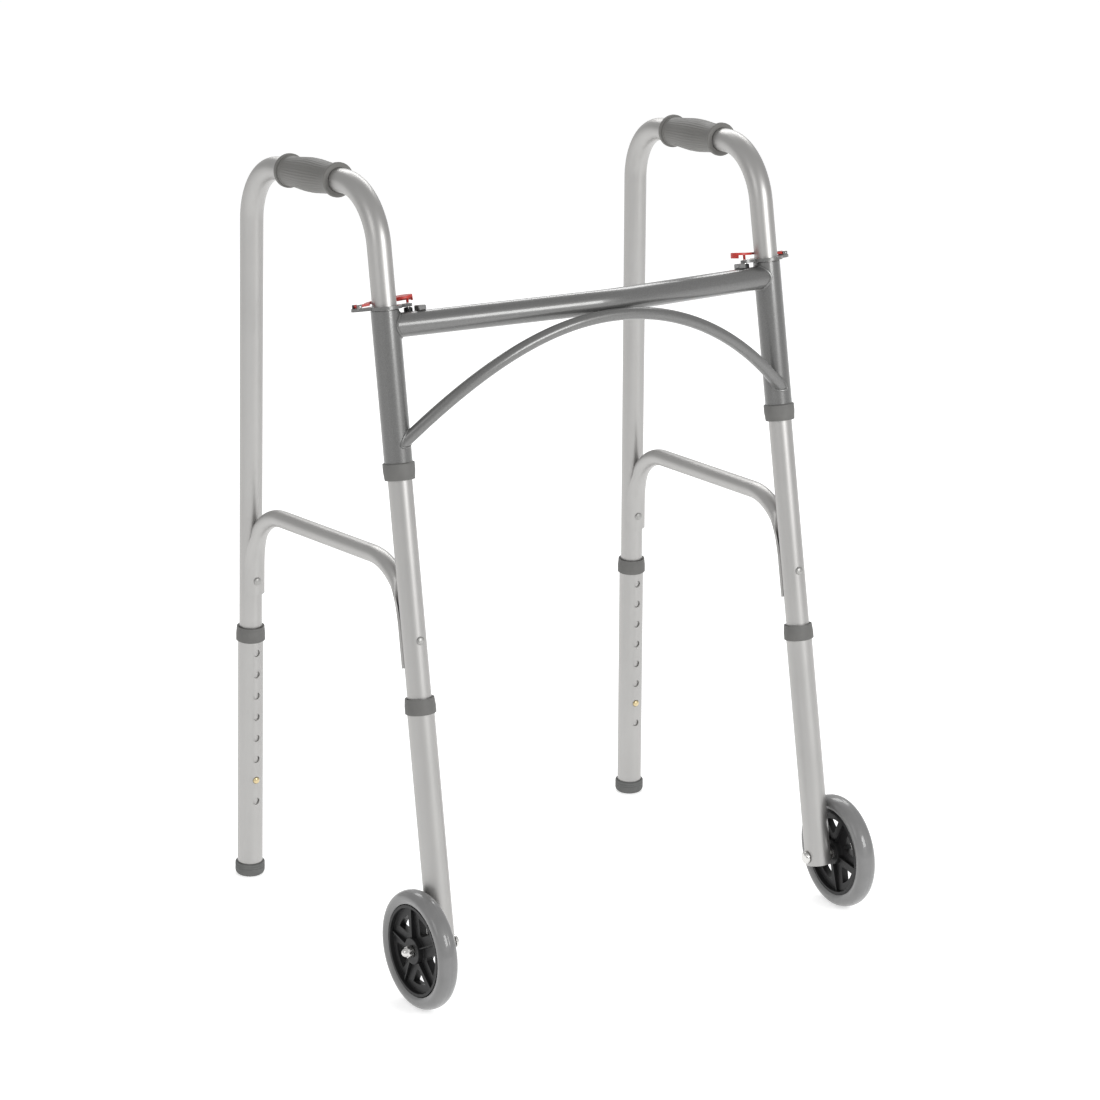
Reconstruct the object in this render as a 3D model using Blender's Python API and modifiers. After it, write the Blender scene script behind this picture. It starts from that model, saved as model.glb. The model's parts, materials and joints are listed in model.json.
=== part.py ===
"""A folding walking frame with two front wheels and two rubber-tipped rear legs.

A grey front frame (crossbar, arch and two hinge sleeves) carries two silver side frames. Each side
frame is one bent tube whose raked front leg turns in its sleeve, so the side folds inwards. Leg
extensions slide over the tube ends and lock on snap buttons, and a red lever over each sleeve draws
the lock pin. Metres, +Z up, rear of the frame at +Y, left side at -X, origin on the floor.
"""

import math

import bmesh
import bpy
from mathutils import Matrix, Vector

MM = 0.001
INCH = 25.4 * MM

# ---- Driving dimensions -------------------------------------------------------------------------
HALF_WIDTH = 241.1 * MM  # out to a hinge axis, on the floor
REAR_SPLAY = 16.6 * MM  # a rear leg's foot stands this much further out
HINGE_FOOT = (HALF_WIDTH, -196.5 * MM)  # where a hinge axis meets the floor
HINGE_RAKE = math.radians(10.27)  # the hinge leans back
HINGE_LEAN = math.radians(0.45)  # and in, towards the top
REAR_FOOT = (HALF_WIDTH + REAR_SPLAY, 231.6 * MM)  # where a rear leg meets the floor
TOP_FRONT = 852.7 * MM  # along the hinge axis, floor to the handle rail's front corner
TOP_SLOPE = math.radians(6.68)  # the rail against the hinge axis's normal
RAIL_LENGTH = 257.1 * MM  # from the front corner to the rear one, before they are rounded
REAR_BEND, FRONT_BEND = 66 * MM, 68 * MM

GAP = 0.3 * MM  # between pieces that touch or nest
TUBE_R, TUBE_WALL = 12.7 * MM, 1.5 * MM
LEG_WALL = 1.3 * MM
LEG_R = TUBE_R + GAP + LEG_WALL  # the extensions, which slide over the tube
SLEEVE_WALL, SLEEVE_PLAY = 1.2 * MM, 0.85 * MM
SLEEVE_R = TUBE_R + SLEEVE_PLAY + SLEEVE_WALL

HOLE_COUNT = 8
HOLE_PITCH = INCH
BUTTON_HOLE = 6  # the seventh hole down holds the button
BUTTON_R, RIVET_R = 3.9 * MM, 2.4 * MM
BUTTON_PROUD, BUTTON_FLANGE_R, BUTTON_FLANGE_T = 2.1 * MM, 5 * MM, 1.2 * MM
BUTTON_SEAT = TUBE_R - TUBE_WALL - 1.8 * MM  # how far out its flange stops
BUTTON_HOLE_R, RIVET_HOLE_R = BUTTON_R + GAP, RIVET_R + GAP
RIVET_HEAD_R, RIVET_DOME, RIVET_TAIL = 4.4 * MM, 1.9 * MM, 1.2 * MM

COLLAR_R, COLLAR_H, COLLAR_LIP = LEG_R + 2 * MM, 17.2 * MM, 2.4 * MM
REAR_COLLAR_Z = 282.3 * MM  # lower rim, along the rear leg
FRONT_COLLAR_Z = 309.3 * MM  # lower rim, along the hinge axis
HOLE_BELOW_COLLAR = 12.1 * MM
TIP_R, TIP_H, TIP_FLOOR = LEG_R + 2.5 * MM, 15.4 * MM, 4.5 * MM
LEG_BELOW_AXLE = 9.8 * MM
TUBE_BELOW_BUTTON = 32 * MM

PLATE_Z, PLATE_T = TOP_FRONT - 124.3 * MM, 3.2 * MM  # underside of the lock plate, up the hinge axis
SLEEVE_FOOT = PLATE_Z - 174.6 * MM  # lower rim of the sleeve's collar
SLEEVE_COLLAR_R, SLEEVE_COLLAR_H = SLEEVE_R + 1.95 * MM, 18.0 * MM

BAR_R, BAR_WALL = 12.7 * MM, 1.5 * MM
BAR_Z = PLATE_Z - 17.8 * MM  # crossbar axis, along the hinge axis
BAR_BOW = 48 * MM  # the crossbar's two straight halves meet this far forward
BAR_BEND = 130 * MM
ARCH_R, ARCH_WALL = 6.5 * MM, 1.2 * MM
ARCH_END_Z = SLEEVE_FOOT + 44.3 * MM
ARCH_POWER, ARCH_SWEEP = 2.06, 2.84  # how it falls, and how it runs back, from its middle to its ends
ARCH_TOUCH = math.radians(35)  # it touches the bar this far below the bar's front
ARCH_TURN = math.radians(31.4)  # its ends meet the sleeves this far inboard of their fronts
ARCH_BITE = 8 * MM  # and go this deep into them before they are cut to fit

WHEEL_R, TYRE_W, TYRE_DEPTH = 63.5 * MM, 22 * MM, 14 * MM
TYRE_INNER_R = WHEEL_R - TYRE_DEPTH
WHEEL_OUT = LEG_R + 1.4 * MM + TYRE_W / 2  # wheel's middle plane from the leg's axis
AXLE_R = 4.0 * MM
AXLE_HOLE_R = AXLE_R + GAP
HUB_W, HUB_BOSS_R, HUB_BORE_R = TYRE_W - 2 * MM, 14 * MM, 6.3 * MM

BRACE_R = 9.5 * MM
BRACE_BEND = 72 * MM
BRACE_FRONT, BRACE_SLOPE = 463.7 * MM, math.radians(6.93)  # its run, where it would meet the hinge axis
BRACE_WRAP = math.radians(58)  # half the angle that a pressed end wraps round its leg
BRACE_FLAT = 2.5 * MM  # thickness of a pressed end
BRACE_REAR_END, BRACE_REAR_RIVET = 339 * MM, 355.6 * MM  # along the rear leg
BRACE_FRONT_END, BRACE_FRONT_RIVET = 357.7 * MM, 386.9 * MM  # along the hinge axis

GRIP_MIDDLE, GRIP_LENGTH = 122.8 * MM, 107 * MM  # middle is counted back from the hinge axis

PIN_REACH, PIN_R = SLEEVE_R + 12.75 * MM, 2.2 * MM  # reach is counted in from the hinge axis
PIN_HOLE_R = PIN_R + 0.2 * MM
PLATE_R, TONGUE_R = SLEEVE_R + 3.25 * MM, 4.6 * MM
TAIL_REACH, TAIL_R = SLEEVE_R + 13.75 * MM, 6.3 * MM
EAR_SIZE, EAR_OUT = (5.2 * MM, 1.8 * MM), 4.9 * MM  # along and across the tail, and out from its middle
PIVOT_Z, PIVOT_R, PIVOT_HALF = 2.1 * MM, 0.8 * MM, 6.4 * MM  # above the plate's top face
LEVER_TILT, LEVER_T = math.radians(4.8), 2.4 * MM  # it rises from its pivot to its paddle
LEVER_BOSS_R, LEVER_NUB_R = 1.75 * MM, 1.4 * MM
PADDLE_REACH, PADDLE_R = PIN_REACH + 0.5 * MM, 11 * MM
PADDLE_LIP, PADDLE_LIP_T = 3.5 * MM, 2 * MM  # its inboard edge turns down
REARWARD = math.radians(18)  # paddle and tail both point this much to the rear

SIDES = {"left": -1, "right": 1}
SEGMENTS = 16

# ---- Scene and materials ------------------------------------------------------------------------
for old in list(bpy.data.objects):
    bpy.data.objects.remove(old, do_unlink=True)
parts = bpy.data.collections.new("walking_frame")
cutters = bpy.data.collections.new("cutters")
bpy.context.scene.collection.children.link(parts)
bpy.context.scene.collection.children.link(cutters)

LOOKS = {  # colour, roughness, metallic
    "anodised": ((0.56, 0.56, 0.55), 0.38, 0.9),
    "grey_paint": ((0.17, 0.17, 0.17), 0.3, 0.6),
    "grey_plastic": ((0.13, 0.135, 0.135), 0.6, 0.0),
    "black_plastic": ((0.015, 0.015, 0.016), 0.5, 0.0),
    "red_plastic": ((0.45, 0.02, 0.015), 0.4, 0.0),
    "rubber": ((0.11, 0.112, 0.112), 0.8, 0.0),
    "tyre": ((0.2, 0.2, 0.2), 0.55, 0.0),
    "steel": ((0.6, 0.6, 0.6), 0.3, 1.0),
}


def material(name, look):
    """A Principled material of its own for the part `name`."""
    colour, roughness, metallic = LOOKS[look]
    made = bpy.data.materials.new(name)
    made.use_nodes = True
    shader = made.node_tree.nodes["Principled BSDF"]
    shader.inputs["Base Color"].default_value = (*colour, 1)
    shader.inputs["Roughness"].default_value = roughness
    shader.inputs["Metallic"].default_value = metallic
    return made


# ---- Making and placing -------------------------------------------------------------------------
def frame(name, parent, local):
    """An empty that pieces are parented to; its axes are the ones they are drawn in."""
    empty = bpy.data.objects.new(name, None)
    parts.objects.link(empty)
    empty.parent = parent
    empty.matrix_basis = local
    return empty


def place(name, data, parent, look=None, local=None):
    """An object on the empty `parent`: a part if it has a look, otherwise a cutter."""
    obj = bpy.data.objects.new(name, data)
    (parts if look else cutters).objects.link(obj)
    obj.parent = parent
    obj.matrix_basis = local or Matrix()
    if look:
        data.materials.append(material(name, look))
    else:
        obj.hide_render = True
        obj.display_type = "WIRE"
    return obj


def modifier(obj, kind, **values):
    made = obj.modifiers.new(kind.title(), kind)
    for key, value in values.items():
        setattr(made, key, value)
    return made


def combine(obj, other, operation="DIFFERENCE"):
    modifier(obj, "BOOLEAN", object=other, operation=operation, solver="EXACT")


def turned(name, profile, parent, look=None, local=None, steps=SEGMENTS):
    """A profile of (radius, height) turned about Z. One that starts off the axis is a closed ring."""
    data = bpy.data.meshes.new(name)
    count = len(profile)
    edges = [(i, i + 1) for i in range(count - 1)]
    if profile[0][0] > 0:
        edges.append((count - 1, 0))
    data.from_pydata([(r, 0, z) for r, z in profile], edges, [])
    obj = place(name, data, parent, look, local)
    modifier(obj, "SCREW", axis="Z", steps=steps, render_steps=steps, use_merge_vertices=True,
             merge_threshold=0.01 * MM, use_smooth_shade=False)
    return obj


def ring(name, outer, inner, low, high, parent, look=None, local=None, steps=SEGMENTS):
    profile = [(outer, high), (outer, low), (inner, low), (inner, high)]
    return turned(name, profile, parent, look, local, steps)


def disc(name, radius, low, high, parent, look=None, local=None, steps=SEGMENTS):
    return turned(name, [(0, high), (radius, high), (radius, low), (0, low)], parent, look, local, steps)


def mesh_of(curve):
    """Turns a curve object into a mesh object in the same place, with its caps welded."""
    bpy.context.view_layer.update()
    graph = bpy.context.evaluated_depsgraph_get()
    data = bpy.data.meshes.new_from_object(curve.evaluated_get(graph))
    shape = bmesh.new()
    shape.from_mesh(data)
    bmesh.ops.remove_doubles(shape, verts=shape.verts, dist=0.01 * MM)
    shape.to_mesh(data)
    shape.free()
    name, home = curve.name, curve.users_collection[0]
    parent, local, world = curve.parent, curve.matrix_basis.copy(), curve.matrix_world.copy()
    bpy.data.objects.remove(curve, do_unlink=True)
    obj = bpy.data.objects.new(name, data)
    home.objects.link(obj)
    obj.matrix_world = world
    obj.parent = parent
    obj.matrix_basis = local
    obj.hide_render = home == cutters
    obj.display_type = "WIRE" if home == cutters else "TEXTURED"
    return obj


def wire(name, points, radius, around, parent, look, caps=True):
    """A round bar along a chain of points, as a curve."""
    data = bpy.data.curves.new(name, "CURVE")
    data.dimensions = "3D"
    data.bevel_depth = radius
    data.bevel_resolution = (around - 4) // 2
    data.use_fill_caps = caps
    spline = data.splines.new("POLY")
    spline.points.add(len(points) - 1)
    for point, where in zip(spline.points, points):
        point.co = (*where, 1)
    return place(name, data, parent, look)


def tube(name, points, radius, wall, parent, look, around=SEGMENTS):
    """A hollow tube along a chain of points, open at both ends."""
    obj = mesh_of(wire(name, points, radius, around, parent, look, caps=False))
    modifier(obj, "SOLIDIFY", thickness=wall, offset=-1, use_even_offset=True)
    return obj


def flat(name, outlines, low, high, parent, look=None):
    """A plate between two heights. The first outline is its edge, and the others are its holes."""
    data = bpy.data.curves.new(name, "CURVE")
    data.dimensions = "2D"
    data.fill_mode = "BOTH"
    data.extrude = (high - low) / 2
    for outline in outlines:
        spline = data.splines.new("POLY")
        spline.points.add(len(outline) - 1)
        spline.use_cyclic_u = True
        for point, (x, y) in zip(spline.points, outline):
            point.co = (x, y, 0, 1)
    return mesh_of(place(name, data, parent, look, Matrix.Translation((0, 0, (low + high) / 2))))


def block(name, size, centre, parent, look=None):
    """A box with its sizes applied to the mesh."""
    data = bpy.data.meshes.new(name)
    shape = bmesh.new()
    bmesh.ops.create_cube(shape, size=1, matrix=Matrix.Diagonal((*size, 1)))
    shape.to_mesh(data)
    shape.free()
    return place(name, data, parent, look, Matrix.Translation(centre))


def circle(radius, count=16, centre=(0, 0)):
    return [(centre[0] + radius * math.cos(a), centre[1] + radius * math.sin(a))
            for a in (2 * math.pi * i / count for i in range(count))]


def rounded(corners, radii, step=math.radians(18)):
    """A chain of points with each inner corner replaced by an arc."""
    chain = [corners[0]]
    for before, corner, after, radius in zip(corners, corners[1:], corners[2:], radii):
        a, b = (before - corner).normalized(), (after - corner).normalized()
        half = a.angle(b) / 2
        centre = corner + (a + b).normalized() * radius / math.sin(half)
        start = corner + a * radius / math.tan(half) - centre
        axis = start.cross(b).normalized()
        sweep = math.pi - 2 * half
        count = max(2, round(sweep / step))
        chain += [centre + Matrix.Rotation(sweep * i / count, 3, axis) @ start for i in range(count + 1)]
    return chain + [corners[-1]]


def along(x=0.0, y=0.0, z=0.0):
    return Matrix.Translation((x, y, z))


def turn(axis, degrees):
    return Matrix.Rotation(math.radians(degrees), 4, axis)


# ---- The frames that everything is drawn in -----------------------------------------------------
def hinge_matrix(side):
    """Z runs up the hinge axis from the floor, Y runs back in the side frame's plane."""
    foot = Vector((side * HINGE_FOOT[0], HINGE_FOOT[1], 0))
    rear = Vector((side * REAR_FOOT[0], REAR_FOOT[1], 0))
    up = Vector((-side * math.tan(HINGE_LEAN), math.tan(HINGE_RAKE), 1)).normalized()
    back = rear - foot
    back = (back - up * back.dot(up)).normalized()
    out = back.cross(up)
    return Matrix.Translation(foot) @ Matrix((out, back, up)).transposed().to_4x4()


def rear_matrix(side):
    """Z runs up the rear leg from the floor to the rail's rear corner, in the hinge's own axes."""
    foot = hinge_matrix(side).inverted() @ Vector((side * REAR_FOOT[0], REAR_FOOT[1], 0))
    corner = Vector((0, 0, TOP_FRONT)) + RAIL_WAY * RAIL_LENGTH
    lean = math.atan2(foot.y - corner.y, corner.z - foot.z)
    return Matrix.Translation(foot) @ Matrix.Rotation(lean, 4, "X")


def lock_matrix(side):
    """X points inwards from the hinge axis and Z up it, from the lock plate's top face."""
    return along(z=PLATE_Z + PLATE_T) @ turn("Z", 180 if side > 0 else 0)


def rail_matrix():
    """Z runs back and up along the handle rail from the hinge axis, in the hinge's own axes."""
    return along(z=TOP_FRONT) @ Matrix.Rotation(TOP_SLOPE - math.pi / 2, 4, "X")


UP = Vector((0, 0, 1))
RAIL_WAY = Vector((0, math.cos(TOP_SLOPE), math.sin(TOP_SLOPE)))
REAR_BUTTON_Z = REAR_COLLAR_Z - HOLE_BELOW_COLLAR - BUTTON_HOLE * HOLE_PITCH
FRONT_BUTTON_Z = FRONT_COLLAR_Z - HOLE_BELOW_COLLAR - BUTTON_HOLE * HOLE_PITCH
AXLE_WAY, _, HINGE_WAY = hinge_matrix(1).to_3x3().transposed()
WHEEL_DROP = WHEEL_R * math.hypot(AXLE_WAY.x, AXLE_WAY.y)  # a tilted wheel's centre above its lowest point
AXLE_Z = (WHEEL_DROP - WHEEL_OUT * AXLE_WAY.z) / HINGE_WAY.z  # so that the wheel meets the floor


# ---- Front frame: crossbar, arch, sleeves and their collars -------------------------------------
def crossbar_path():
    """From hinge axis to hinge axis, with one bend that carries the middle forward."""
    ends = [hinge_matrix(side) @ Vector((0, 0, BAR_Z)) for side in SIDES.values()]
    forward = -(hinge_matrix(1).to_3x3() @ Vector((0, 1, 0)) + hinge_matrix(-1).to_3x3() @ Vector((0, 1, 0)))
    middle = (ends[0] + ends[1]) / 2 + forward.normalized() * BAR_BOW
    return rounded([ends[0], middle, ends[1]], [BAR_BEND], math.radians(6))


def arch_path():
    """A flat-topped arch that springs from the sleeves' inner fronts and touches under the crossbar."""
    bar_middle = crossbar_path()[len(crossbar_path()) // 2]
    touch = Vector((0, -math.cos(ARCH_TOUCH), -math.sin(ARCH_TOUCH)))
    apex = bar_middle + (BAR_R + ARCH_R + GAP) * touch
    axis = hinge_matrix(1) @ Vector((0, 0, ARCH_END_Z))
    outward = Vector((math.sin(ARCH_TURN), math.cos(ARCH_TURN), 0))
    foot = axis - SLEEVE_R * outward
    count = 16
    path = []
    for i in range(count + 1):
        part = 2 * i / count - 1
        height = apex.z - (apex.z - foot.z) * abs(part) ** ARCH_POWER
        back = apex.y - (apex.y - foot.y) * abs(part) ** ARCH_SWEEP
        path.append(Vector((foot.x * part, back, height)))
    first = path[0] + (path[0] - path[1]).normalized() * ARCH_BITE
    last = path[-1] + (path[-1] - path[-2]).normalized() * ARCH_BITE
    return [first] + path + [last]


def front_frame(hinges):
    bar = tube("crossbar", crossbar_path(), BAR_R, BAR_WALL, None, "grey_paint")
    arch = tube("arch_brace", arch_path(), ARCH_R, ARCH_WALL, None, "grey_paint", around=8)
    for word, side in SIDES.items():
        hinge = hinges[word]
        low = SLEEVE_FOOT + COLLAR_LIP + GAP
        high = PLATE_Z - 1 * MM
        ring(f"hinge_sleeve_{word}", SLEEVE_R, SLEEVE_R - SLEEVE_WALL, low, high, hinge, "grey_paint")
        cap_ring(f"sleeve_collar_{word}", SLEEVE_COLLAR_R, SLEEVE_COLLAR_H, SLEEVE_R, hinge,
                 along(z=SLEEVE_FOOT + SLEEVE_COLLAR_H) @ turn("X", 180))
        seat = disc(f"sleeve_seat_{word}", SLEEVE_R + GAP, SLEEVE_FOOT, PLATE_Z, hinge)
        combine(bar, seat)
        combine(arch, seat)
        lock_pin(word, hinge, bar)


def cap_ring(name, radius, height, inner, parent, local):
    """A plastic collar over a tube's end: it grips the outer tube, and its lip guides the inner one."""
    edge = 0.8 * MM
    profile = [(radius - edge, height), (radius, height - edge), (radius, edge), (radius - edge, 0),
               (inner + GAP, 0), (inner + GAP, height - COLLAR_LIP), (TUBE_R + GAP, height - COLLAR_LIP),
               (TUBE_R + GAP, height)]
    turned(name, profile, parent, "grey_plastic", local)


# ---- Lock: pin, plate and lever -----------------------------------------------------------------
HOUSING_R, SPRING_R, COIL_WIRE_R = 4.6 * MM, 2.6 * MM, 0.4 * MM
PIN_TOP = 0.3 * MM  # above the lock plate
HOUSING_TOP, HOUSING_FOOT = -(PLATE_T + 0.8 * MM), -28 * MM
HOUSING_DRAIN_R = 1 * MM
PIN_FLANGE_R, PIN_FLANGE_TOP, PIN_FLANGE_T = 3.3 * MM, -8 * MM, 2 * MM
PIN_STEM, PIN_EDGE = 6 * MM, 0.4 * MM  # the stem stands inside the coil
COIL_FOOT, COIL_TURNS, COIL_STEPS = HOUSING_FOOT + 2 * MM, 4, 8
STOP_SIZE = (9 * MM, 10 * MM, 14.6 * MM)
STOP_NEAR, STOP_TOP = PIN_REACH + 6 * MM, -2.7 * MM  # its near face, and its top under the plate's top


def lock_pin(word, hinge, bar):
    """A sprung pin in a black housing let into the crossbar, and the stop beside it."""
    spot = frame(f"pin_axis_{word}", hinge, lock_matrix(SIDES[word]) @ along(PIN_REACH))
    inner, seat = PIN_FLANGE_R + GAP, COIL_FOOT - COIL_WIRE_R - GAP
    profile = [(HOUSING_R, HOUSING_TOP), (HOUSING_R, HOUSING_FOOT), (HOUSING_DRAIN_R, HOUSING_FOOT),
               (HOUSING_DRAIN_R, seat), (inner, seat), (inner, PIN_FLANGE_TOP + GAP),
               (PIN_R + GAP, PIN_FLANGE_TOP + GAP), (PIN_R + GAP, HOUSING_TOP)]
    turned(f"pin_housing_{word}", profile, spot, "black_plastic", steps=12)
    under = PIN_FLANGE_TOP - PIN_FLANGE_T
    stem = SPRING_R - COIL_WIRE_R - GAP
    profile = [(0, PIN_TOP), (PIN_R - PIN_EDGE, PIN_TOP), (PIN_R, PIN_TOP - PIN_EDGE),
               (PIN_R, PIN_FLANGE_TOP), (PIN_FLANGE_R, PIN_FLANGE_TOP), (PIN_FLANGE_R, under),
               (stem, under), (stem, under - PIN_STEM), (0, under - PIN_STEM)]
    turned(f"lock_pin_{word}", profile, spot, "steel", steps=12)
    top = under - COIL_WIRE_R - GAP
    count = COIL_TURNS * COIL_STEPS
    coil = []
    for i in range(count + 1):
        angle = 2 * math.pi * i / COIL_STEPS
        height = COIL_FOOT + (top - COIL_FOOT) * i / count
        coil.append(Vector((SPRING_R * math.cos(angle), SPRING_R * math.sin(angle), height)))
    wire(f"pin_spring_{word}", coil, COIL_WIRE_R, 4, spot, "steel")
    combine(bar, disc(f"housing_hole_{word}", HOUSING_R + GAP, HOUSING_FOOT, HOUSING_TOP, spot, steps=12))
    lever_stop(word, hinge)


def lever_stop(word, hinge):
    """A small block welded on the crossbar, which the pressed paddle comes down to."""
    spot = frame(f"stop_spot_{word}", hinge, lock_matrix(SIDES[word]))
    long, _, deep = STOP_SIZE
    forward = SIDES[word] * BAR_BOW * STOP_NEAR / HINGE_FOOT[0]
    middle = (STOP_NEAR + long / 2, forward, STOP_TOP - deep / 2)
    stop = block(f"lever_stop_{word}", STOP_SIZE, middle, spot, "grey_paint")
    saddle = wire(f"stop_saddle_{word}", crossbar_path(), BAR_R + GAP, SEGMENTS, None, None)
    combine(stop, mesh_of(saddle))


def lobe(angle, heading, reach, radius):
    """How far a round-ended arm from the origin reaches at `angle`."""
    off = abs((angle - heading + math.pi) % (2 * math.pi) - math.pi)
    if off > math.pi / 2:
        return 0
    if off <= math.atan2(radius, reach):
        return reach * math.cos(off) + math.sqrt(radius ** 2 - (reach * math.sin(off)) ** 2)
    return radius / math.sin(off)


def lock_plate(word, hinge):
    """A steel plate fixed on the side tube: a tongue with the pin's hole, and a slotted tail with ears."""
    side = SIDES[word]
    spot = frame(f"plate_spot_{word}", hinge, lock_matrix(side))
    rear = -side
    tail = math.pi - REARWARD
    edge = []
    for i in range(72):
        angle = 2 * math.pi * i / 72
        tongue_reach = lobe(angle, 0, PIN_REACH, TONGUE_R)
        tail_reach = lobe(angle, tail, TAIL_REACH, TAIL_R)
        reach = max(PLATE_R, tongue_reach, tail_reach)
        edge.append((reach * math.cos(angle), rear * reach * math.sin(angle)))
    pivot = (-TAIL_REACH * math.cos(REARWARD), rear * TAIL_REACH * math.sin(REARWARD))
    slot_corners = ((-3.5, -2.5), (4.5, -2.5), (4.5, 2.5), (-3.5, 2.5))
    slot = [(pivot[0] + x * MM, pivot[1] + y * MM) for x, y in slot_corners]
    holes = [circle(TUBE_R + GAP, SEGMENTS), circle(PIN_HOLE_R, 12, (PIN_REACH, 0)), slot]
    plate = flat(f"lock_plate_{word}", [edge] + holes, -PLATE_T, 0, spot, "grey_paint")
    ear_low, ear_high = -PLATE_T / 2, PIVOT_Z + PIVOT_R + GAP + 0.7 * MM
    for name, away in (("near", 1), ("far", -1)):
        middle = (pivot[0], pivot[1] + away * EAR_OUT, (ear_low + ear_high) / 2)
        ear = block(f"{name}_ear_{word}", (*EAR_SIZE, ear_high - ear_low), middle, spot)
        combine(plate, ear, "UNION")
    across = along(pivot[0], pivot[1], PIVOT_Z) @ turn("X", 90)
    ear_half = EAR_OUT + EAR_SIZE[1]
    combine(plate, disc(f"ear_hole_{word}", PIVOT_R + GAP, -ear_half, ear_half, spot, local=across, steps=12))
    disc(f"lever_pivot_{word}", PIVOT_R, -PIVOT_HALF, PIVOT_HALF, spot, "steel", across, steps=12)
    release_lever(word, spot, rear, pivot, across)


def lever_outline(rear):
    """From the paddle's round end to the tail behind the tube, out along one edge and back on the other."""
    inner, outer, last = TUBE_R + 2.7 * MM, TUBE_R + 7.8 * MM, math.radians(168)
    tail = math.pi - REARWARD
    widest = math.asin(PADDLE_R / PADDLE_REACH)
    first, step = REARWARD - widest, math.radians(6)
    far, near = [], []
    for i in range(round((last - first) / step) + 1):
        angle = first + step * i
        off = angle - REARWARD
        reach = max(outer, lobe(angle, tail, TAIL_REACH - 1 * MM, 3.5 * MM)) if off > 0.2 else 0
        spread = math.sqrt(max(0, PADDLE_R ** 2 - (PADDLE_REACH * math.sin(off)) ** 2)) if off < widest else 0
        if spread or off <= 0:
            reach = max(reach, PADDLE_REACH * math.cos(off) + spread)
        back = PADDLE_REACH * math.cos(off) - spread if off < 0 else inner
        far.append((reach * math.cos(angle), rear * reach * math.sin(angle)))
        if i:
            near.append((back * math.cos(angle), rear * back * math.sin(angle)))
    return far + near[::-1]


def lip_outline(rear):
    """The band along the paddle's inboard and rear edge, clear of the plate's tongue."""
    middle = (PADDLE_REACH * math.cos(REARWARD), PADDLE_REACH * math.sin(REARWARD))
    turns = [math.radians(-46 + 14 * i) for i in range(11)]
    band = [(PADDLE_R - 0.1 * MM, a) for a in turns] + [(PADDLE_R - PADDLE_LIP_T, a) for a in turns[::-1]]
    return [(middle[0] + r * math.cos(a), rear * (middle[1] + r * math.sin(a))) for r, a in band]


def release_lever(word, spot, rear, pivot, across):
    """A red paddle over the lock pin, on an arm that passes behind the side tube to its low pivot."""
    tilt = along(pivot[0], 0, PIVOT_Z) @ Matrix.Rotation(-LEVER_TILT, 4, "Y") @ along(-pivot[0])
    tilted = frame(f"lever_spot_{word}", spot, tilt)
    half = LEVER_T / 2
    lever = flat(f"release_lever_{word}", [lever_outline(rear)], -half, half, tilted, "red_plastic")
    combine(lever, flat(f"paddle_lip_{word}", [lip_outline(rear)], -half - PADDLE_LIP, 0, tilted), "UNION")
    nub_top = PIVOT_Z + (PIN_REACH - pivot[0]) * math.sin(LEVER_TILT)
    nub = disc(f"lever_nub_{word}", LEVER_NUB_R, PIN_TOP + GAP, nub_top, spot, local=along(PIN_REACH),
               steps=12)
    combine(lever, nub, "UNION")
    boss = disc(f"lever_boss_{word}", LEVER_BOSS_R, -3.4 * MM, 3.4 * MM, spot, local=across, steps=16)
    combine(lever, boss, "UNION")
    hole = disc(f"lever_hole_{word}", PIVOT_R + GAP, -PIVOT_HALF, PIVOT_HALF, spot, local=across, steps=12)
    combine(lever, hole)


# ---- Side frame: bent tube, grip, brace and rivets ----------------------------------------------
def side_path(rear):
    """The side tube's centre line: up the rear leg, along the handle rail and down the front leg."""
    foot = rear @ Vector((0, 0, REAR_BUTTON_Z - TUBE_BELOW_BUTTON))
    front_corner = Vector((0, 0, TOP_FRONT))
    rear_corner = front_corner + RAIL_WAY * RAIL_LENGTH
    front_foot = Vector((0, 0, FRONT_BUTTON_Z - TUBE_BELOW_BUTTON))
    return rounded([foot, rear_corner, front_corner, front_foot], [REAR_BEND, FRONT_BEND])


def brace_section(thickness):
    """Points round the brace where it is `thickness` thick: (across, in from its inner bend).

    At full thickness it is a circle. Pressed flat, it is a crescent that hugs the leg.
    """
    flatness = (2 * BRACE_R - thickness) / (2 * BRACE_R - BRACE_FLAT)
    face, back = TUBE_R + GAP, TUBE_R + GAP + BRACE_FLAT
    half = 7
    points = []
    for i in range(half):
        across = -1 + (2 * i + 1) / half
        for_circle = math.pi / 2 * across
        wrap = BRACE_WRAP * across
        round_spot = (BRACE_R * math.sin(for_circle), BRACE_R - BRACE_R * math.cos(for_circle))
        flat_spot = (back * math.sin(wrap), back - back * math.cos(wrap))
        points.append([(1 - flatness) * a + flatness * b for a, b in zip(round_spot, flat_spot)])
    for i in range(half):
        across = 1 - (2 * i + 1) / half
        for_circle = math.pi / 2 * across
        wrap = BRACE_WRAP * across
        round_spot = (BRACE_R * math.sin(for_circle), BRACE_R + BRACE_R * math.cos(for_circle))
        flat_spot = (face * math.sin(wrap), back - face * math.cos(wrap))
        points.append([(1 - flatness) * a + flatness * b for a, b in zip(round_spot, flat_spot)])
    return points


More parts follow.
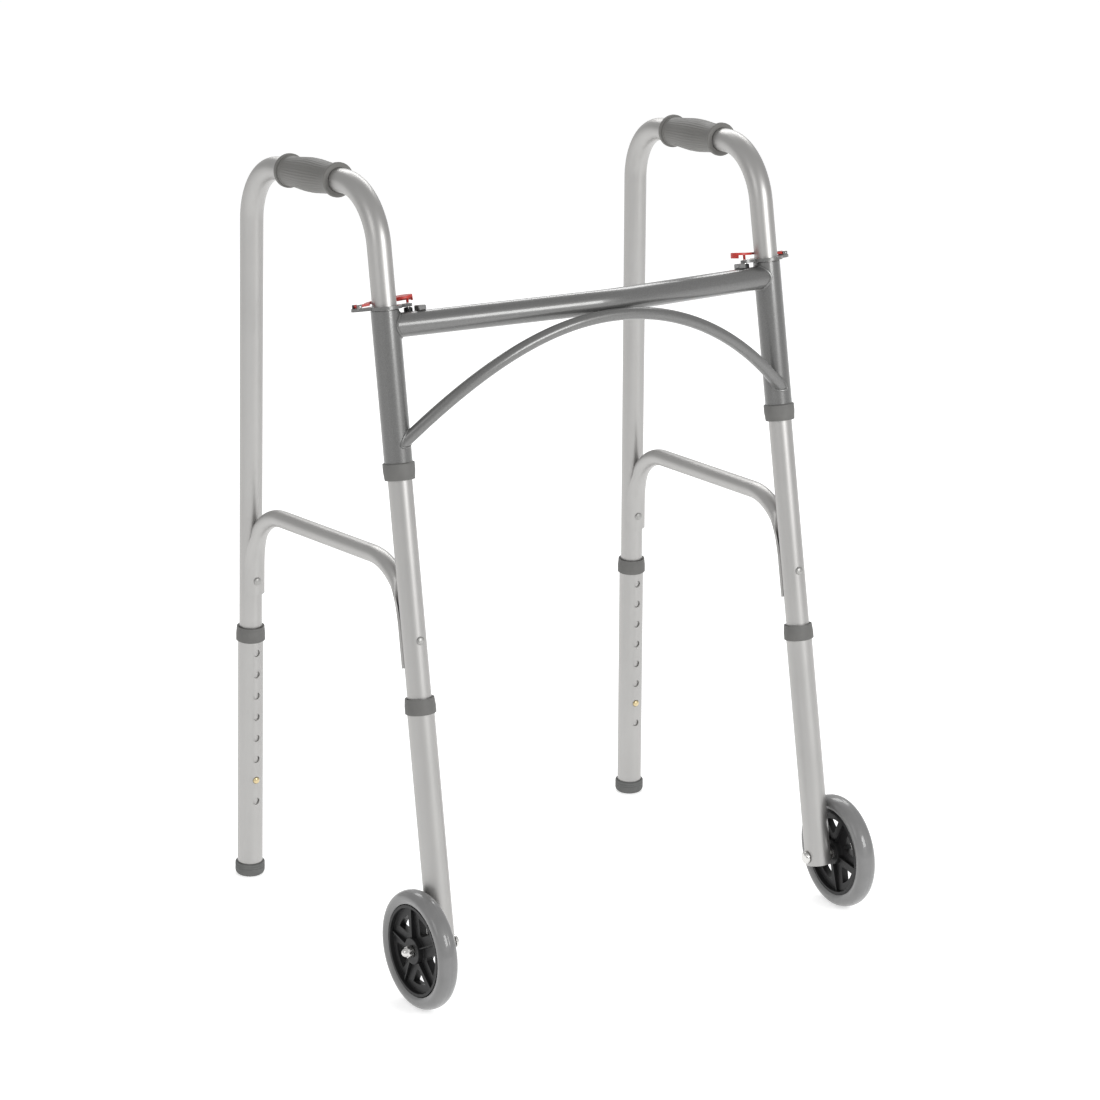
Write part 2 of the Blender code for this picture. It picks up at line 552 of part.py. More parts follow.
def brace_end(leg_point, leg_way, toward, end, run_point, run_way):
    """Rings of points for one end, from its pressed tip round the bend to the straight run."""
    inner_bend = BRACE_BEND - BRACE_R
    reach = TUBE_R + GAP + BRACE_FLAT + inner_bend
    below = Vector((0, run_way.z, -run_way.y))
    if below.z > 0:
        below = -below
    base = leg_point + toward * reach
    start = (run_point - base).dot(below) + BRACE_BEND
    centre = base + leg_way * (start / leg_way.dot(below))
    whole = leg_way.angle(run_way)
    rings = []

    def add(origin, outward, thickness):
        rings.append([origin + outward * inward + Vector((across, 0, 0))
                      for across, inward in brace_section(thickness)])

    tip = leg_point + leg_way * end + toward * (reach - inner_bend)
    for share in (0, 0.5, 1):
        bend_start = centre - toward * inner_bend
        add(tip.lerp(bend_start, share), -toward, BRACE_FLAT)
    count = 7
    for i in range(1, count + 1):
        angle = whole * i / count
        outward = -toward * math.cos(angle) + leg_way * math.sin(angle)
        room = (reach - TUBE_R - GAP) / max(0.05, math.cos(angle)) - inner_bend
        add(centre + outward * inner_bend, outward, min(2 * BRACE_R, room))
    return rings


def brace_mesh(rear):
    """A loft from one pressed end to the other."""
    leg_way = (rear.to_3x3() @ UP).normalized()
    forward = rear.to_3x3() @ Vector((0, -1, 0))
    run = Vector((0, math.cos(BRACE_SLOPE), math.sin(BRACE_SLOPE)))
    run_point = Vector((0, 0, BRACE_FRONT))
    back_rings = brace_end(rear @ Vector(), leg_way, forward, BRACE_REAR_END, run_point, -run)
    front_rings = brace_end(Vector(), UP, Vector((0, 1, 0)), BRACE_FRONT_END, run_point, run)
    rings = front_rings + back_rings[::-1]
    data = bpy.data.meshes.new("side_brace")
    shape = bmesh.new()
    loops = [[shape.verts.new(point) for point in one] for one in rings]
    for here, there in zip(loops, loops[1:]):
        for i in range(len(here)):
            j = (i + 1) % len(here)
            shape.faces.new((here[i], here[j], there[j], there[i]))
    shape.faces.new(loops[0][::-1])
    shape.faces.new(loops[-1])
    bmesh.ops.recalc_face_normals(shape, faces=shape.faces)
    shape.to_mesh(data)
    shape.free()
    return data


def cross_hole(name, radius, low, high, parent, spot, degrees=90):
    """A cutter along Y at the height and place `spot`."""
    return disc(name, radius, low, high, parent, local=spot @ turn("X", degrees), steps=12)


def rivet(name, low, high, spot, parent, look=None):
    """A solid rivet along Y with a domed head at the front and a flat one behind."""
    head, top, bottom = RIVET_HEAD_R, high + RIVET_DOME, low - RIVET_TAIL
    profile = [(0, top), (head * 0.6, high + RIVET_DOME * 0.75), (head, high + GAP), (RIVET_R, high + GAP),
               (RIVET_R, low - GAP), (head, low - GAP), (head, bottom), (0, bottom)]
    return turned(name, profile, parent, look, spot @ turn("X", 90), steps=12)


def side_frame(word, hinge, rear_frame):
    rear = rear_frame.matrix_basis.copy()
    body = tube(f"side_tube_{word}", side_path(rear), TUBE_R, TUBE_WALL, hinge, "anodised")
    brace = place(f"side_brace_{word}", brace_mesh(rear), hinge, "anodised")
    rivets = {"rear": (rear @ along(z=BRACE_REAR_RIVET), -TUBE_R, TUBE_R + GAP + BRACE_FLAT),
              "front": (along(z=BRACE_FRONT_RIVET), -TUBE_R - GAP - BRACE_FLAT, TUBE_R)}
    for end, (spot, low, high) in rivets.items():
        hole = cross_hole(f"{end}_rivet_hole_{word}", RIVET_HOLE_R, -20 * MM, 20 * MM, hinge, spot)
        combine(body, hole)
        combine(brace, hole)
        rivet(f"{end}_brace_rivet_{word}", low, high, spot, hinge, "steel")
    buttons = {"rear": (rear @ along(z=REAR_BUTTON_Z), 90), "front": (along(z=FRONT_BUTTON_Z), -90)}
    for end, (spot, degrees) in buttons.items():
        hole = cross_hole(f"{end}_button_hole_{word}", BUTTON_HOLE_R, 0, 20 * MM, hinge, spot, degrees)
        combine(body, hole)
        snap_button(f"{end}_snap", word, hinge, spot @ turn("X", degrees))
    grip(word, hinge)
    lock_plate(word, hinge)


def grip(word, hinge):
    """A moulded handgrip on the rail: a flange at each end and a swelling between them."""
    half, flange, flange_r = GRIP_LENGTH / 2, 5 * MM, TUBE_R + 5.6 * MM
    waist, swell, edge = TUBE_R + 3.2 * MM, 2.3 * MM, 1.0 * MM
    inner = half - flange
    outer = [(flange_r - edge, half), (flange_r, half - edge), (flange_r, inner + edge),
             (flange_r - edge, inner)]
    middle = []
    for i in range(9):
        share = 1 - i / 4
        middle.append((waist + swell * math.cos(math.pi / 2 * share) ** 2, inner * share))
    bottom = [(r, -z) for r, z in outer[::-1]]
    bore = TUBE_R + GAP
    profile = outer + middle + bottom + [(bore, -half), (bore, half)]
    middle_way = GRIP_MIDDLE / math.cos(TOP_SLOPE)
    turned(f"grip_{word}", profile, hinge, "grey_plastic", rail_matrix() @ along(z=middle_way))


# ---- Snap buttons and their clips ---------------------------------------------------------------
def snap_button(name, word, hinge, spot):
    """A domed button, with the spring clip that holds it out. Z of `spot` points out through the hole."""
    tip, back = LEG_R + BUTTON_PROUD, BUTTON_SEAT - BUTTON_FLANGE_T
    profile = [(0, tip), (BUTTON_R * 0.55, tip - 0.45 * MM), (BUTTON_R, LEG_R), (BUTTON_R, BUTTON_SEAT),
               (BUTTON_FLANGE_R, BUTTON_SEAT), (BUTTON_FLANGE_R, back), (0, back)]
    turned(f"{name}_button_{word}", profile, hinge, "steel", spot, steps=12)
    leaf = 0.6 * MM
    near = back - GAP - leaf / 2
    far = -(TUBE_R - TUBE_WALL - 1.6 * MM)
    up = 1 if name.startswith("rear") else -1  # the bend lies up inside the tube at both ends
    corners = [(-6, near), (16, near), (33, (near + far) / 2 + 1.5 * MM), (33, (near + far) / 2 - 1.5 * MM),
               (16, far), (-6, far)]
    data = bpy.data.curves.new(f"{name}_clip_{word}", "CURVE")
    data.dimensions = "2D"
    data.fill_mode = "NONE"
    data.extrude = 3 * MM
    spline = data.splines.new("POLY")
    spline.points.add(len(corners) - 1)
    for point, (reach, out) in zip(spline.points, corners):
        point.co = (up * reach * MM, out, 0, 1)
    upright = Matrix(((0, 0, 1, 0), (1, 0, 0, 0), (0, 1, 0, 0), (0, 0, 0, 1)))
    clip = mesh_of(place(data.name, data, hinge, "steel", spot @ upright))
    modifier(clip, "SOLIDIFY", thickness=leaf, offset=0, use_even_offset=True)


# ---- Leg extensions, tips and wheels ------------------------------------------------------------
def leg_extension(name, parent, low, collar_z, hole_side):
    """A tube with a row of height holes on one side."""
    high = collar_z + COLLAR_H - COLLAR_LIP - GAP
    leg = ring(name, LEG_R, LEG_R - LEG_WALL, low, high, parent, "anodised")
    for i in range(HOLE_COUNT):
        height = collar_z - HOLE_BELOW_COLLAR - i * HOLE_PITCH
        combine(leg, cross_hole(f"{name}_hole_{i}", BUTTON_HOLE_R, 4 * MM, 20 * MM, parent, along(z=height),
                                hole_side))
    return leg


def rear_leg(word, leg_frame):
    leg_extension(f"rear_leg_{word}", leg_frame, TIP_FLOOR + GAP, REAR_COLLAR_Z, 90)
    cap_ring(f"rear_collar_{word}", COLLAR_R, COLLAR_H, LEG_R, leg_frame, along(z=REAR_COLLAR_Z))
    foot = -0.8 * MM
    bore = LEG_R + GAP
    profile = [(0, TIP_FLOOR), (bore, TIP_FLOOR), (bore, TIP_H), (bore + 0.5 * MM, TIP_H),
               (TIP_R - 0.9 * MM, TIP_H - 0.7 * MM), (TIP_R - 0.3 * MM, TIP_H - 3 * MM), (TIP_R, 8 * MM),
               (TIP_R - 0.2 * MM, 4.5 * MM), (TIP_R - 0.8 * MM, 2 * MM), (TIP_R - 1.6 * MM, foot), (0, foot)]
    tip = turned(f"rear_tip_{word}", profile, leg_frame, "rubber")
    combine(tip, floor_cutter())


def floor_cutter():
    """Everything below the floor, so that a tip ends in a level face."""
    if "floor_cutter" not in bpy.data.objects:
        block("floor_cutter", (1, 1, 0.1), (0, 0, -0.05), None)
    return bpy.data.objects["floor_cutter"]


def front_leg(word, hinge):
    leg = leg_extension(f"front_leg_{word}", hinge, AXLE_Z - LEG_BELOW_AXLE, FRONT_COLLAR_Z, -90)
    cap_ring(f"front_collar_{word}", COLLAR_R, COLLAR_H, LEG_R, hinge, along(z=FRONT_COLLAR_Z))
    axle = frame(f"axle_{word}", hinge, along(z=AXLE_Z) @ turn("Y", 90 * SIDES[word]))
    combine(leg, disc(f"axle_hole_{word}", AXLE_HOLE_R, -20 * MM, 20 * MM, axle, steps=12))
    wheel(word, axle)


def wheel(word, axle):
    """Z of the axle frame points outwards from the leg's axis."""
    hub_low, hub_high = WHEEL_OUT - HUB_W / 2, WHEEL_OUT + HUB_W / 2
    bolt_end = hub_high + 6 * MM
    head_face = -LEG_R - GAP
    profile = [(0, bolt_end), (AXLE_R, bolt_end), (AXLE_R, head_face), (7 * MM, head_face),
               (7 * MM, head_face - 2 * MM), (4.5 * MM, head_face - 4.2 * MM), (0, head_face - 4.6 * MM)]
    turned(f"axle_bolt_{word}", profile, axle, "steel", steps=12)
    ring(f"axle_washer_{word}", 8 * MM, AXLE_HOLE_R, LEG_R + GAP, hub_low - GAP, axle, "steel", steps=12)
    nut_low = hub_high + GAP
    profile = [(0, nut_low + 11 * MM), (2.6 * MM, nut_low + 10.4 * MM), (4.9 * MM, nut_low + 8 * MM),
               (5.6 * MM, nut_low + 6 * MM), (6.6 * MM, nut_low + 5.4 * MM), (6.6 * MM, nut_low),
               (AXLE_HOLE_R, nut_low), (AXLE_HOLE_R, bolt_end + GAP), (0, bolt_end + GAP)]
    turned(f"axle_nut_{word}", profile, axle, "steel", steps=12)
    middle = along(z=WHEEL_OUT)
    ring(f"wheel_bush_{word}", HUB_BORE_R - GAP, AXLE_R + 0.2 * MM, -HUB_W / 2 + 0.1 * MM,
         HUB_W / 2 - 0.1 * MM, axle, "steel", middle, steps=12)
    tyre(word, axle, middle)
    hub(word, axle, middle)


def tyre(word, axle, middle):
    """A solid tyre with a rounded tread."""
    half, count = TYRE_W / 2, 6
    flank = TYRE_INNER_R + 0.35 * (WHEEL_R - TYRE_INNER_R)
    crown = [(flank + (WHEEL_R - flank) * math.cos(a) ** 0.8, half * math.sin(a))
             for a in (math.pi / 2 - math.pi * i / count for i in range(1, count))]
    profile = [(TYRE_INNER_R, 8.6 * MM), (flank, half)] + crown + [(flank, -half), (TYRE_INNER_R, -8.6 * MM)]
    turned(f"tyre_{word}", profile, axle, "tyre", middle, steps=32)


def hub(word, axle, middle):
    """A moulded centre: rim, web and boss in one, with five openings between the spokes."""
    rim, rim_in, web, rim_half = TYRE_INNER_R - GAP, TYRE_INNER_R - 4 * MM, 4 * MM, HUB_W / 2 - 1 * MM
    boss = HUB_W / 2
    profile = [(rim, rim_half), (rim, -rim_half), (rim_in, -rim_half), (rim_in, -web), (HUB_BOSS_R, -web),
               (HUB_BOSS_R, -boss), (HUB_BORE_R, -boss), (HUB_BORE_R, boss), (HUB_BOSS_R, boss),
               (HUB_BOSS_R, web), (rim_in, web), (rim_in, rim_half)]
    made = turned(f"wheel_hub_{word}", profile, axle, "black_plastic", middle, steps=25)
    inner, outer, spoke = HUB_BOSS_R + 7 * MM, rim_in - 8.5 * MM, 10.8 * MM
    for i in range(5):
        heading = 2 * math.pi * (i + 0.5) / 5
        window = []
        for reach, way in ((inner, 1), (outer, -1)):
            half_angle = math.pi / 5 - math.asin(spoke / reach)
            window += [(reach * math.cos(a), reach * math.sin(a))
                       for a in (heading + way * half_angle * t for t in (-1, 0, 1))]
        cutter = flat(f"hub_window_{word}_{i}", [window], -12 * MM, 12 * MM, axle)
        cutter.matrix_basis = middle @ cutter.matrix_basis
        combine(made, cutter)


# ---- Assembly -----------------------------------------------------------------------------------
def assemble():
    hinges = {word: frame(f"hinge_{word}", None, hinge_matrix(side)) for word, side in SIDES.items()}
    front_frame(hinges)
    for word, side in SIDES.items():
        rear = frame(f"rear_axis_{word}", hinges[word], rear_matrix(side))
        side_frame(word, hinges[word], rear)
        rear_leg(word, rear)
        front_leg(word, hinges[word])


assemble()
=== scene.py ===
"""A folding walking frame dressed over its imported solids. Metres, +Z up, the user's side at +Y."""

import json
import math

import bmesh
import bpy
from mathutils import Matrix, Vector


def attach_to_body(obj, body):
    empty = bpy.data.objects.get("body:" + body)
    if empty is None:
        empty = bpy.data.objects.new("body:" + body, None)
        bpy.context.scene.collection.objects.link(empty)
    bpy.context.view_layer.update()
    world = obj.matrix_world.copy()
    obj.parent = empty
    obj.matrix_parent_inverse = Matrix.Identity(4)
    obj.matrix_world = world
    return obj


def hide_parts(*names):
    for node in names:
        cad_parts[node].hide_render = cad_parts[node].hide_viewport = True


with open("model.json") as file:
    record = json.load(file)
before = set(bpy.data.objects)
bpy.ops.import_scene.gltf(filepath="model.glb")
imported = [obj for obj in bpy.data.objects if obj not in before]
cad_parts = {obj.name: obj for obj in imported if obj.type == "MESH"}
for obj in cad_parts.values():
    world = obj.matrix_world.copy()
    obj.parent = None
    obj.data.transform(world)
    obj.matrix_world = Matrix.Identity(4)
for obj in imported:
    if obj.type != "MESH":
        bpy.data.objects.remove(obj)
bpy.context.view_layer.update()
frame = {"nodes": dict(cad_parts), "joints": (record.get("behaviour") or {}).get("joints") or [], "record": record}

# ---- Side tubes ----------------------------------------------------------------------------------
# Each side is one drawn aluminium tube with two bends, so its rear leg, handle rail and front leg are a
# single piece. It is satin anodised, and keeps faint lines along its length from the drawing die.
MM = 0.001
SIDES = ("left", "right")
joints = {joint["name"]: joint for joint in frame["joints"]}
mounts = {mount["name"]: mount for mount in frame["record"]["mounts"]}
body_of = {node: body for body, nodes in frame["record"]["behaviour"]["bodies"].items() for node in nodes}


class Shade:
    """A shader socket that takes part in Python sums. With no socket, it stands for the node tree."""

    def __init__(self, tree, socket=None):
        self.tree = tree
        self.socket = socket

    def node(self, kind, settings, inputs, output=0):
        """Adds a node: its settings first, then the values or links of its sockets."""
        made = self.tree.nodes.new("ShaderNode" + kind)
        for key, value in settings.items():
            setattr(made, key, value)
        for key, value in inputs.items():
            if isinstance(value, Shade):
                self.tree.links.new(value.socket, made.inputs[key])
            else:
                made.inputs[key].default_value = value
        return Shade(self.tree, made.outputs[output])

    def sum(self, operation, first, second):
        return self.node("Math", {"operation": operation}, {0: first, 1: second})

    def __add__(self, other):
        return self.sum("ADD", self, other)

    def __rsub__(self, other):
        return self.sum("SUBTRACT", other, self)

    def __mul__(self, other):
        return self.sum("MULTIPLY", self, other)

    __radd__ = __add__
    __rmul__ = __mul__


def new_finish(name, slot, colour, levels):
    """A material for one of the record's slots, and the Shade that its nodes are made with."""
    made = bpy.data.materials.new(name)
    made.use_nodes = True
    made["slot"] = slot
    shader = made.node_tree.nodes["Principled BSDF"]
    shader.inputs["Base Color"].default_value = (*colour, 1)
    for socket, value in levels.items():
        shader.inputs[socket].default_value = value
    return made, Shade(made.node_tree)


def feed(finish, socket, shade):
    """Links a shade to the material's shader."""
    shader = finish.node_tree.nodes["Principled BSDF"]
    finish.node_tree.links.new(shade.socket, shader.inputs[socket])


def noise(shade, where, scale, detail=2.0):
    """Soft noise from 0 to 1. `scale` is the number of lumps in a metre, the same or one for each axis."""
    if not isinstance(scale, tuple):
        scale = (scale, scale, scale)
    spread = shade.node("Mapping", {}, {"Vector": where, "Scale": scale})
    return shade.node("TexNoise", {}, {"Vector": spread, "Scale": 1.0, "Detail": detail}, "Fac")


def blend_colours(shade, share, low, high):
    """A colour between two, by a share from 0 to 1."""
    return shade.node("Mix", {"data_type": "RGBA"}, {0: share, 6: (*low, 1), 7: (*high, 1)}, 2)


def relief(shade, height, depth, strength):
    """A normal for a height from 0 to 1 that stands `depth` high."""
    return shade.node("Bump", {}, {"Height": height, "Distance": depth, "Strength": strength}, "Normal")


anodising, shade = new_finish("satin_anodising", "anodised_aluminium", (0.45, 0.446, 0.437),
                              {"Metallic": 0.88})
in_place = shade.node("TexCoord", {}, {}, "Object")
wrapped = shade.node("UVMap", {"uv_map": "wrap"}, {})
die_lines = noise(shade, wrapped, (1500, 7, 1), 3.0)
clouding = noise(shade, in_place, 18)
feed(anodising, "Base Color", blend_colours(shade, clouding, (0.395, 0.39, 0.382), (0.455, 0.45, 0.44)))
feed(anodising, "Roughness", 0.33 + 0.1 * die_lines + 0.06 * clouding)
feed(anodising, "Normal", relief(shade, die_lines, 0.02 * MM, 0.35))


def axes(at, up, back):
    """A matrix at a point, with Z along `up` and Y as near to `back` as it can be."""
    up, back = Vector(up).normalized(), Vector(back)
    back = (back - up * back.dot(up)).normalized()
    return Matrix.Translation(Vector(at)) @ Matrix((back.cross(up), back, up)).transposed().to_4x4()


def bent(corners, radii, step=math.radians(4)):
    """A chain of points with each inner corner replaced by an arc."""
    chain = [corners[0]]
    for before, corner, after, radius in zip(corners, corners[1:], corners[2:], radii):
        back, on = (before - corner).normalized(), (after - corner).normalized()
        half = back.angle(on) / 2
        middle = corner + (back + on).normalized() * radius / math.sin(half)
        arm = corner + back * radius / math.tan(half) - middle
        spin = arm.cross(on).normalized()
        sweep = math.pi - 2 * half
        count = max(2, round(sweep / step))
        chain += [middle + Matrix.Rotation(sweep * i / count, 3, spin) @ arm for i in range(count + 1)]
    return chain + [corners[-1]]


def ring(middle, across, along, radius, count):
    """A circle of points, in the plane of two unit vectors."""
    turns = (2 * math.pi * i / count for i in range(count))
    return [middle + radius * (math.cos(a) * across + math.sin(a) * along) for a in turns]


def rings_on(path, radius, count):
    """A circle of points round each point of a path."""
    ways = [(there - here).normalized() for here, there in zip(path, path[1:])]
    ways = [ways[0]] + [(a + b).normalized() for a, b in zip(ways, ways[1:])] + [ways[-1]]
    across = ways[0].orthogonal().normalized()
    rings = []
    for point, way in zip(path, ways):
        across = (across - way * across.dot(way)).normalized()
        rings.append(ring(point, across, way.cross(across), radius, count))
    return rings


crease = math.radians(32)


def skin(name, rings, looped=False):
    """A smooth mesh over a list of rings. A looped one runs back to its first ring; others are capped."""
    shape = bmesh.new()
    rows = [[shape.verts.new(point) for point in one] for one in rings]
    wrap = shape.loops.layers.uv.new("wrap")
    count = len(rings[0])
    girth = max(sum((a - b).length for a, b in zip(one, one[1:] + one[:1])) for one in rings)
    run = 0
    for here, there in list(zip(rows, rows[1:])) + ([(rows[-1], rows[0])] if looped else []):
        step = (here[0].co - there[0].co).length
        for i in range(count):
            j = (i + 1) % count
            face = shape.faces.new((here[i], here[j], there[j], there[i]))
            places = ((i, run), (i + 1, run), (i + 1, run + step), (i, run + step))
            for loop, (turn, length) in zip(face.loops, places):
                loop[wrap].uv = (girth * turn / count, length)
        run += step
    if not looped:
        for row in (rows[0], rows[-1]):
            if (row[0].co - row[1].co).length > 0.01 * MM:
                shape.faces.new(row)
    bmesh.ops.remove_doubles(shape, verts=shape.verts, dist=0.004 * MM)
    bmesh.ops.recalc_face_normals(shape, faces=shape.faces)
    data = bpy.data.meshes.new(name)
    shape.to_mesh(data)
    shape.free()
    data.shade_smooth()
    data.set_sharp_from_angle(angle=crease)
    made = bpy.data.objects.new(name, data)
    bpy.context.scene.collection.objects.link(made)
    return made


def tube(name, path, radius, wall, count=48):
    """A hollow tube along a path, open at both ends."""
    return skin(name, rings_on(path, radius, count) + rings_on(path, radius - wall, count)[::-1], looped=True)


def dress(piece, finish, node):
    """The piece takes a finish, stands for a solid and rides with it."""
    piece.data.materials.clear()
    piece.data.materials.append(finish)
    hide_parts(node)
    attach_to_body(piece, body_of[node])


def span(node, place):
    """The lowest and highest corners of a solid, in the axes of a matrix."""
    back = place.inverted()
    points = [back @ vertex.co for vertex in frame["nodes"][node].data.vertices]
    return Vector(map(min, zip(*points))), Vector(map(max, zip(*points)))


tube_radius, tube_wall = 12.7 * MM, 1.5 * MM
rail_height, rail_length, rail_slope = 852.7 * MM, 257.1 * MM, math.radians(6.68)
rear_bend, front_bend = 66 * MM, 68 * MM
tube_below_button = 32 * MM
rail_way = Vector((0, math.cos(rail_slope), math.sin(rail_slope)))
hinge, rear = {}, {}
for side in SIDES:
    fold = joints[f"fold_{side}"]
    front_press = Vector(joints[f"front_button_press_{side}"]["axis"])
    rear_press = Vector(joints[f"rear_button_press_{side}"]["axis"])
    rear_up = -Vector(joints[f"rear_leg_slide_{side}"]["axis"])
    hinge[side] = axes(fold["pos_m"], fold["axis"], -front_press)
    rear[side] = axes(mounts[f"rear_tip_floor_{side}"]["pos_m"], rear_up, rear_press)
    leg_ends = {}
    for end, place in (("rear", rear[side]), ("front", hinge[side])):
        low, high = span(f"{end}_snap_button_{side}", place)
        leg_ends[end] = place @ Vector((0, 0, (low.z + high.z) / 2 - tube_below_button))
    front_corner = hinge[side] @ Vector((0, 0, rail_height))
    rear_corner = front_corner + hinge[side].to_3x3() @ rail_way * rail_length
    corners = [leg_ends["rear"], rear_corner, front_corner, leg_ends["front"]]
    side_tube = tube(f"bent_side_tube_{side}", bent(corners, [rear_bend, front_bend]), tube_radius, tube_wall)
    dress(side_tube, anodising, f"side_tube_{side}")

# ---- Side braces and their rivets ----------------------------------------------------------------
# A thinner tube ties each pair of legs. Its ends turn down along the legs and are pressed into shallow
# channels that hug them, and a zinc-plated rivet goes through each end and its leg.
brace_radius, brace_bend, brace_flat = 9.5 * MM, 72 * MM, 2.5 * MM
brace_height, brace_slope = 463.7 * MM, math.radians(6.93)
brace_wrap = math.radians(58)
leg_gap = 0.3 * MM
brace_ends = {"rear": 339 * MM, "front": 357.7 * MM}
rivet_heights = {"rear": 355.6 * MM, "front": 386.9 * MM}
rivet_shank, rivet_head, rivet_dome = 2.4 * MM, 4.4 * MM, 1.9 * MM
upset, upset_edge, upset_dimple = 1.2 * MM, 0.4 * MM, 1.4 * MM


def brace_section(thickness, half=16):
    """Points round the brace, (across, in from its inner bend): a circle, or pressed, a crescent."""
    pressed = (2 * brace_radius - thickness) / (2 * brace_radius - brace_flat)
    face = tube_radius + leg_gap
    back = face + brace_flat
    points = []
    for way, reach in ((1, back), (-1, face)):
        for i in range(half):
            across = way * (-1 + (2 * i + 1) / half)
            turn, wrap = math.pi / 2 * across, brace_wrap * across
            full = Vector((math.sin(turn), 1 - way * math.cos(turn))) * brace_radius
            hugging = Vector((reach * math.sin(wrap), back - reach * math.cos(wrap)))
            points.append(full.lerp(hugging, pressed))
    return points


def brace_end(leg_way, leg_point, toward, end, run_point, run_way):
    """Rings from a pressed end, round its bend, to the straight run."""
    inside = brace_bend - brace_radius
    face = tube_radius + leg_gap
    reach = face + brace_flat + inside
    below = Vector((0, run_way.z, -run_way.y))
    if below.z > 0:
        below = -below
    base = leg_point + toward * reach
    middle = base + leg_way * (((run_point - base).dot(below) + brace_bend) / leg_way.dot(below))
    tip = leg_point + leg_way * end + toward * (face + brace_flat)
    starts = [(tip.lerp(middle - toward * inside, i / 10), -toward, brace_flat) for i in range(11)]
    whole, count = leg_way.angle(run_way), 22
    for i in range(1, count + 1):
        turn = whole * i / count
        outward = leg_way * math.sin(turn) - toward * math.cos(turn)
        room = (reach - face) / max(0.05, math.cos(turn)) - inside
        starts.append((middle + outward * inside, outward, min(2 * brace_radius, room)))
    return [[at + outward * inward + Vector((across, 0, 0)) for across, inward in brace_section(thickness)]
            for at, outward, thickness in starts]


def turned(name, profile, place, steps=48):
    """A (radius, height) profile turned about Z. One that starts off the axis closes on itself."""
    turns = [2 * math.pi * i / steps for i in range(steps)]
    rings = [[place @ Vector((r * math.cos(a), r * math.sin(a), z)) for a in turns] for r, z in profile]
    return skin(name, rings, looped=profile[0][0] > 0)


steel, shade = new_finish("zinc_plating", "bright_steel", (0.66, 0.66, 0.65), {"Metallic": 1.0})
in_place = shade.node("TexCoord", {}, {}, "Object")
bloom = noise(shade, in_place, 320, 3.0)
feed(steel, "Base Color", blend_colours(shade, bloom, (0.58, 0.58, 0.57), (0.74, 0.73, 0.71)))
feed(steel, "Roughness", 0.16 + 0.2 * bloom)
feed(steel, "Normal", relief(shade, bloom, 0.02 * MM, 0.3))

rivet_metal, shade = new_finish("dulled_rivet", "bright_steel", (0.4, 0.4, 0.39), {"Metallic": 0.9})
in_place = shade.node("TexCoord", {}, {}, "Object")
stains = noise(shade, in_place, 500, 3.0)
feed(rivet_metal, "Base Color", blend_colours(shade, stains, (0.26, 0.26, 0.255), (0.46, 0.455, 0.44)))
feed(rivet_metal, "Roughness", 0.3 + 0.25 * stains)

facing_front = Matrix.Rotation(math.pi / 2, 4, "X")
for side in SIDES:
    to_rear = hinge[side].inverted() @ rear[side]
    run_way = Vector((0, math.cos(brace_slope), math.sin(brace_slope)))
    run_point = Vector((0, 0, brace_height))
    front_rings = brace_end(Vector((0, 0, 1)), Vector(), Vector((0, 1, 0)), brace_ends["front"], run_point,
                            run_way)
    rear_way = to_rear.to_3x3() @ Vector((0, 0, 1))
    rear_rings = brace_end(rear_way, to_rear.translation, to_rear.to_3x3() @ Vector((0, -1, 0)),
                           brace_ends["rear"], run_point, -run_way)
    rings = [[hinge[side] @ point for point in one] for one in front_rings + rear_rings[::-1]]
    dress(skin(f"pressed_side_brace_{side}", rings), anodising, f"side_brace_{side}")
    behind = tube_radius + leg_gap + brace_flat
    spots = {"rear": (rear[side], tube_radius, behind), "front": (hinge[side], behind, tube_radius)}
    for end, (leg, low, high) in spots.items():
        at = leg @ Matrix.Translation((0, 0, rivet_heights[end])) @ facing_front
        domed = [(rivet_head * math.sin(a), high + leg_gap + rivet_dome * math.cos(a))
                 for a in (math.pi / 2 * i / 8 for i in range(9))]
        tail = [(rivet_shank, high + leg_gap), (rivet_shank, -low - leg_gap), (rivet_head, -low - leg_gap),
                (rivet_head - upset_edge, -low - upset), (upset_dimple, -low - upset),
                (0, -low - upset + upset_edge)]
        made = turned(f"domed_{end}_rivet_{side}", domed + tail, at, 32)
        dress(made, rivet_metal, f"{end}_brace_rivet_{side}")

# ---- Handgrips -----------------------------------------------------------------------------------
# A grey vinyl grip is moulded round each rail. It swells in the palm, has a rolled flange at both ends
# with a small bead inside it, and carries fine flutes along its length.
vinyl, shade = new_finish("fluted_vinyl", "grip_vinyl", (0.135, 0.14, 0.14), {})
in_place = shade.node("TexCoord", {}, {}, "Object")
pores = noise(shade, in_place, 1600)
handling = noise(shade, in_place, 45)
feed(vinyl, "Base Color", blend_colours(shade, handling, (0.132, 0.13, 0.123), (0.168, 0.165, 0.156)))
feed(vinyl, "Roughness", 0.46 + 0.16 * handling)
feed(vinyl, "Normal", relief(shade, pores, 0.05 * MM, 0.5))

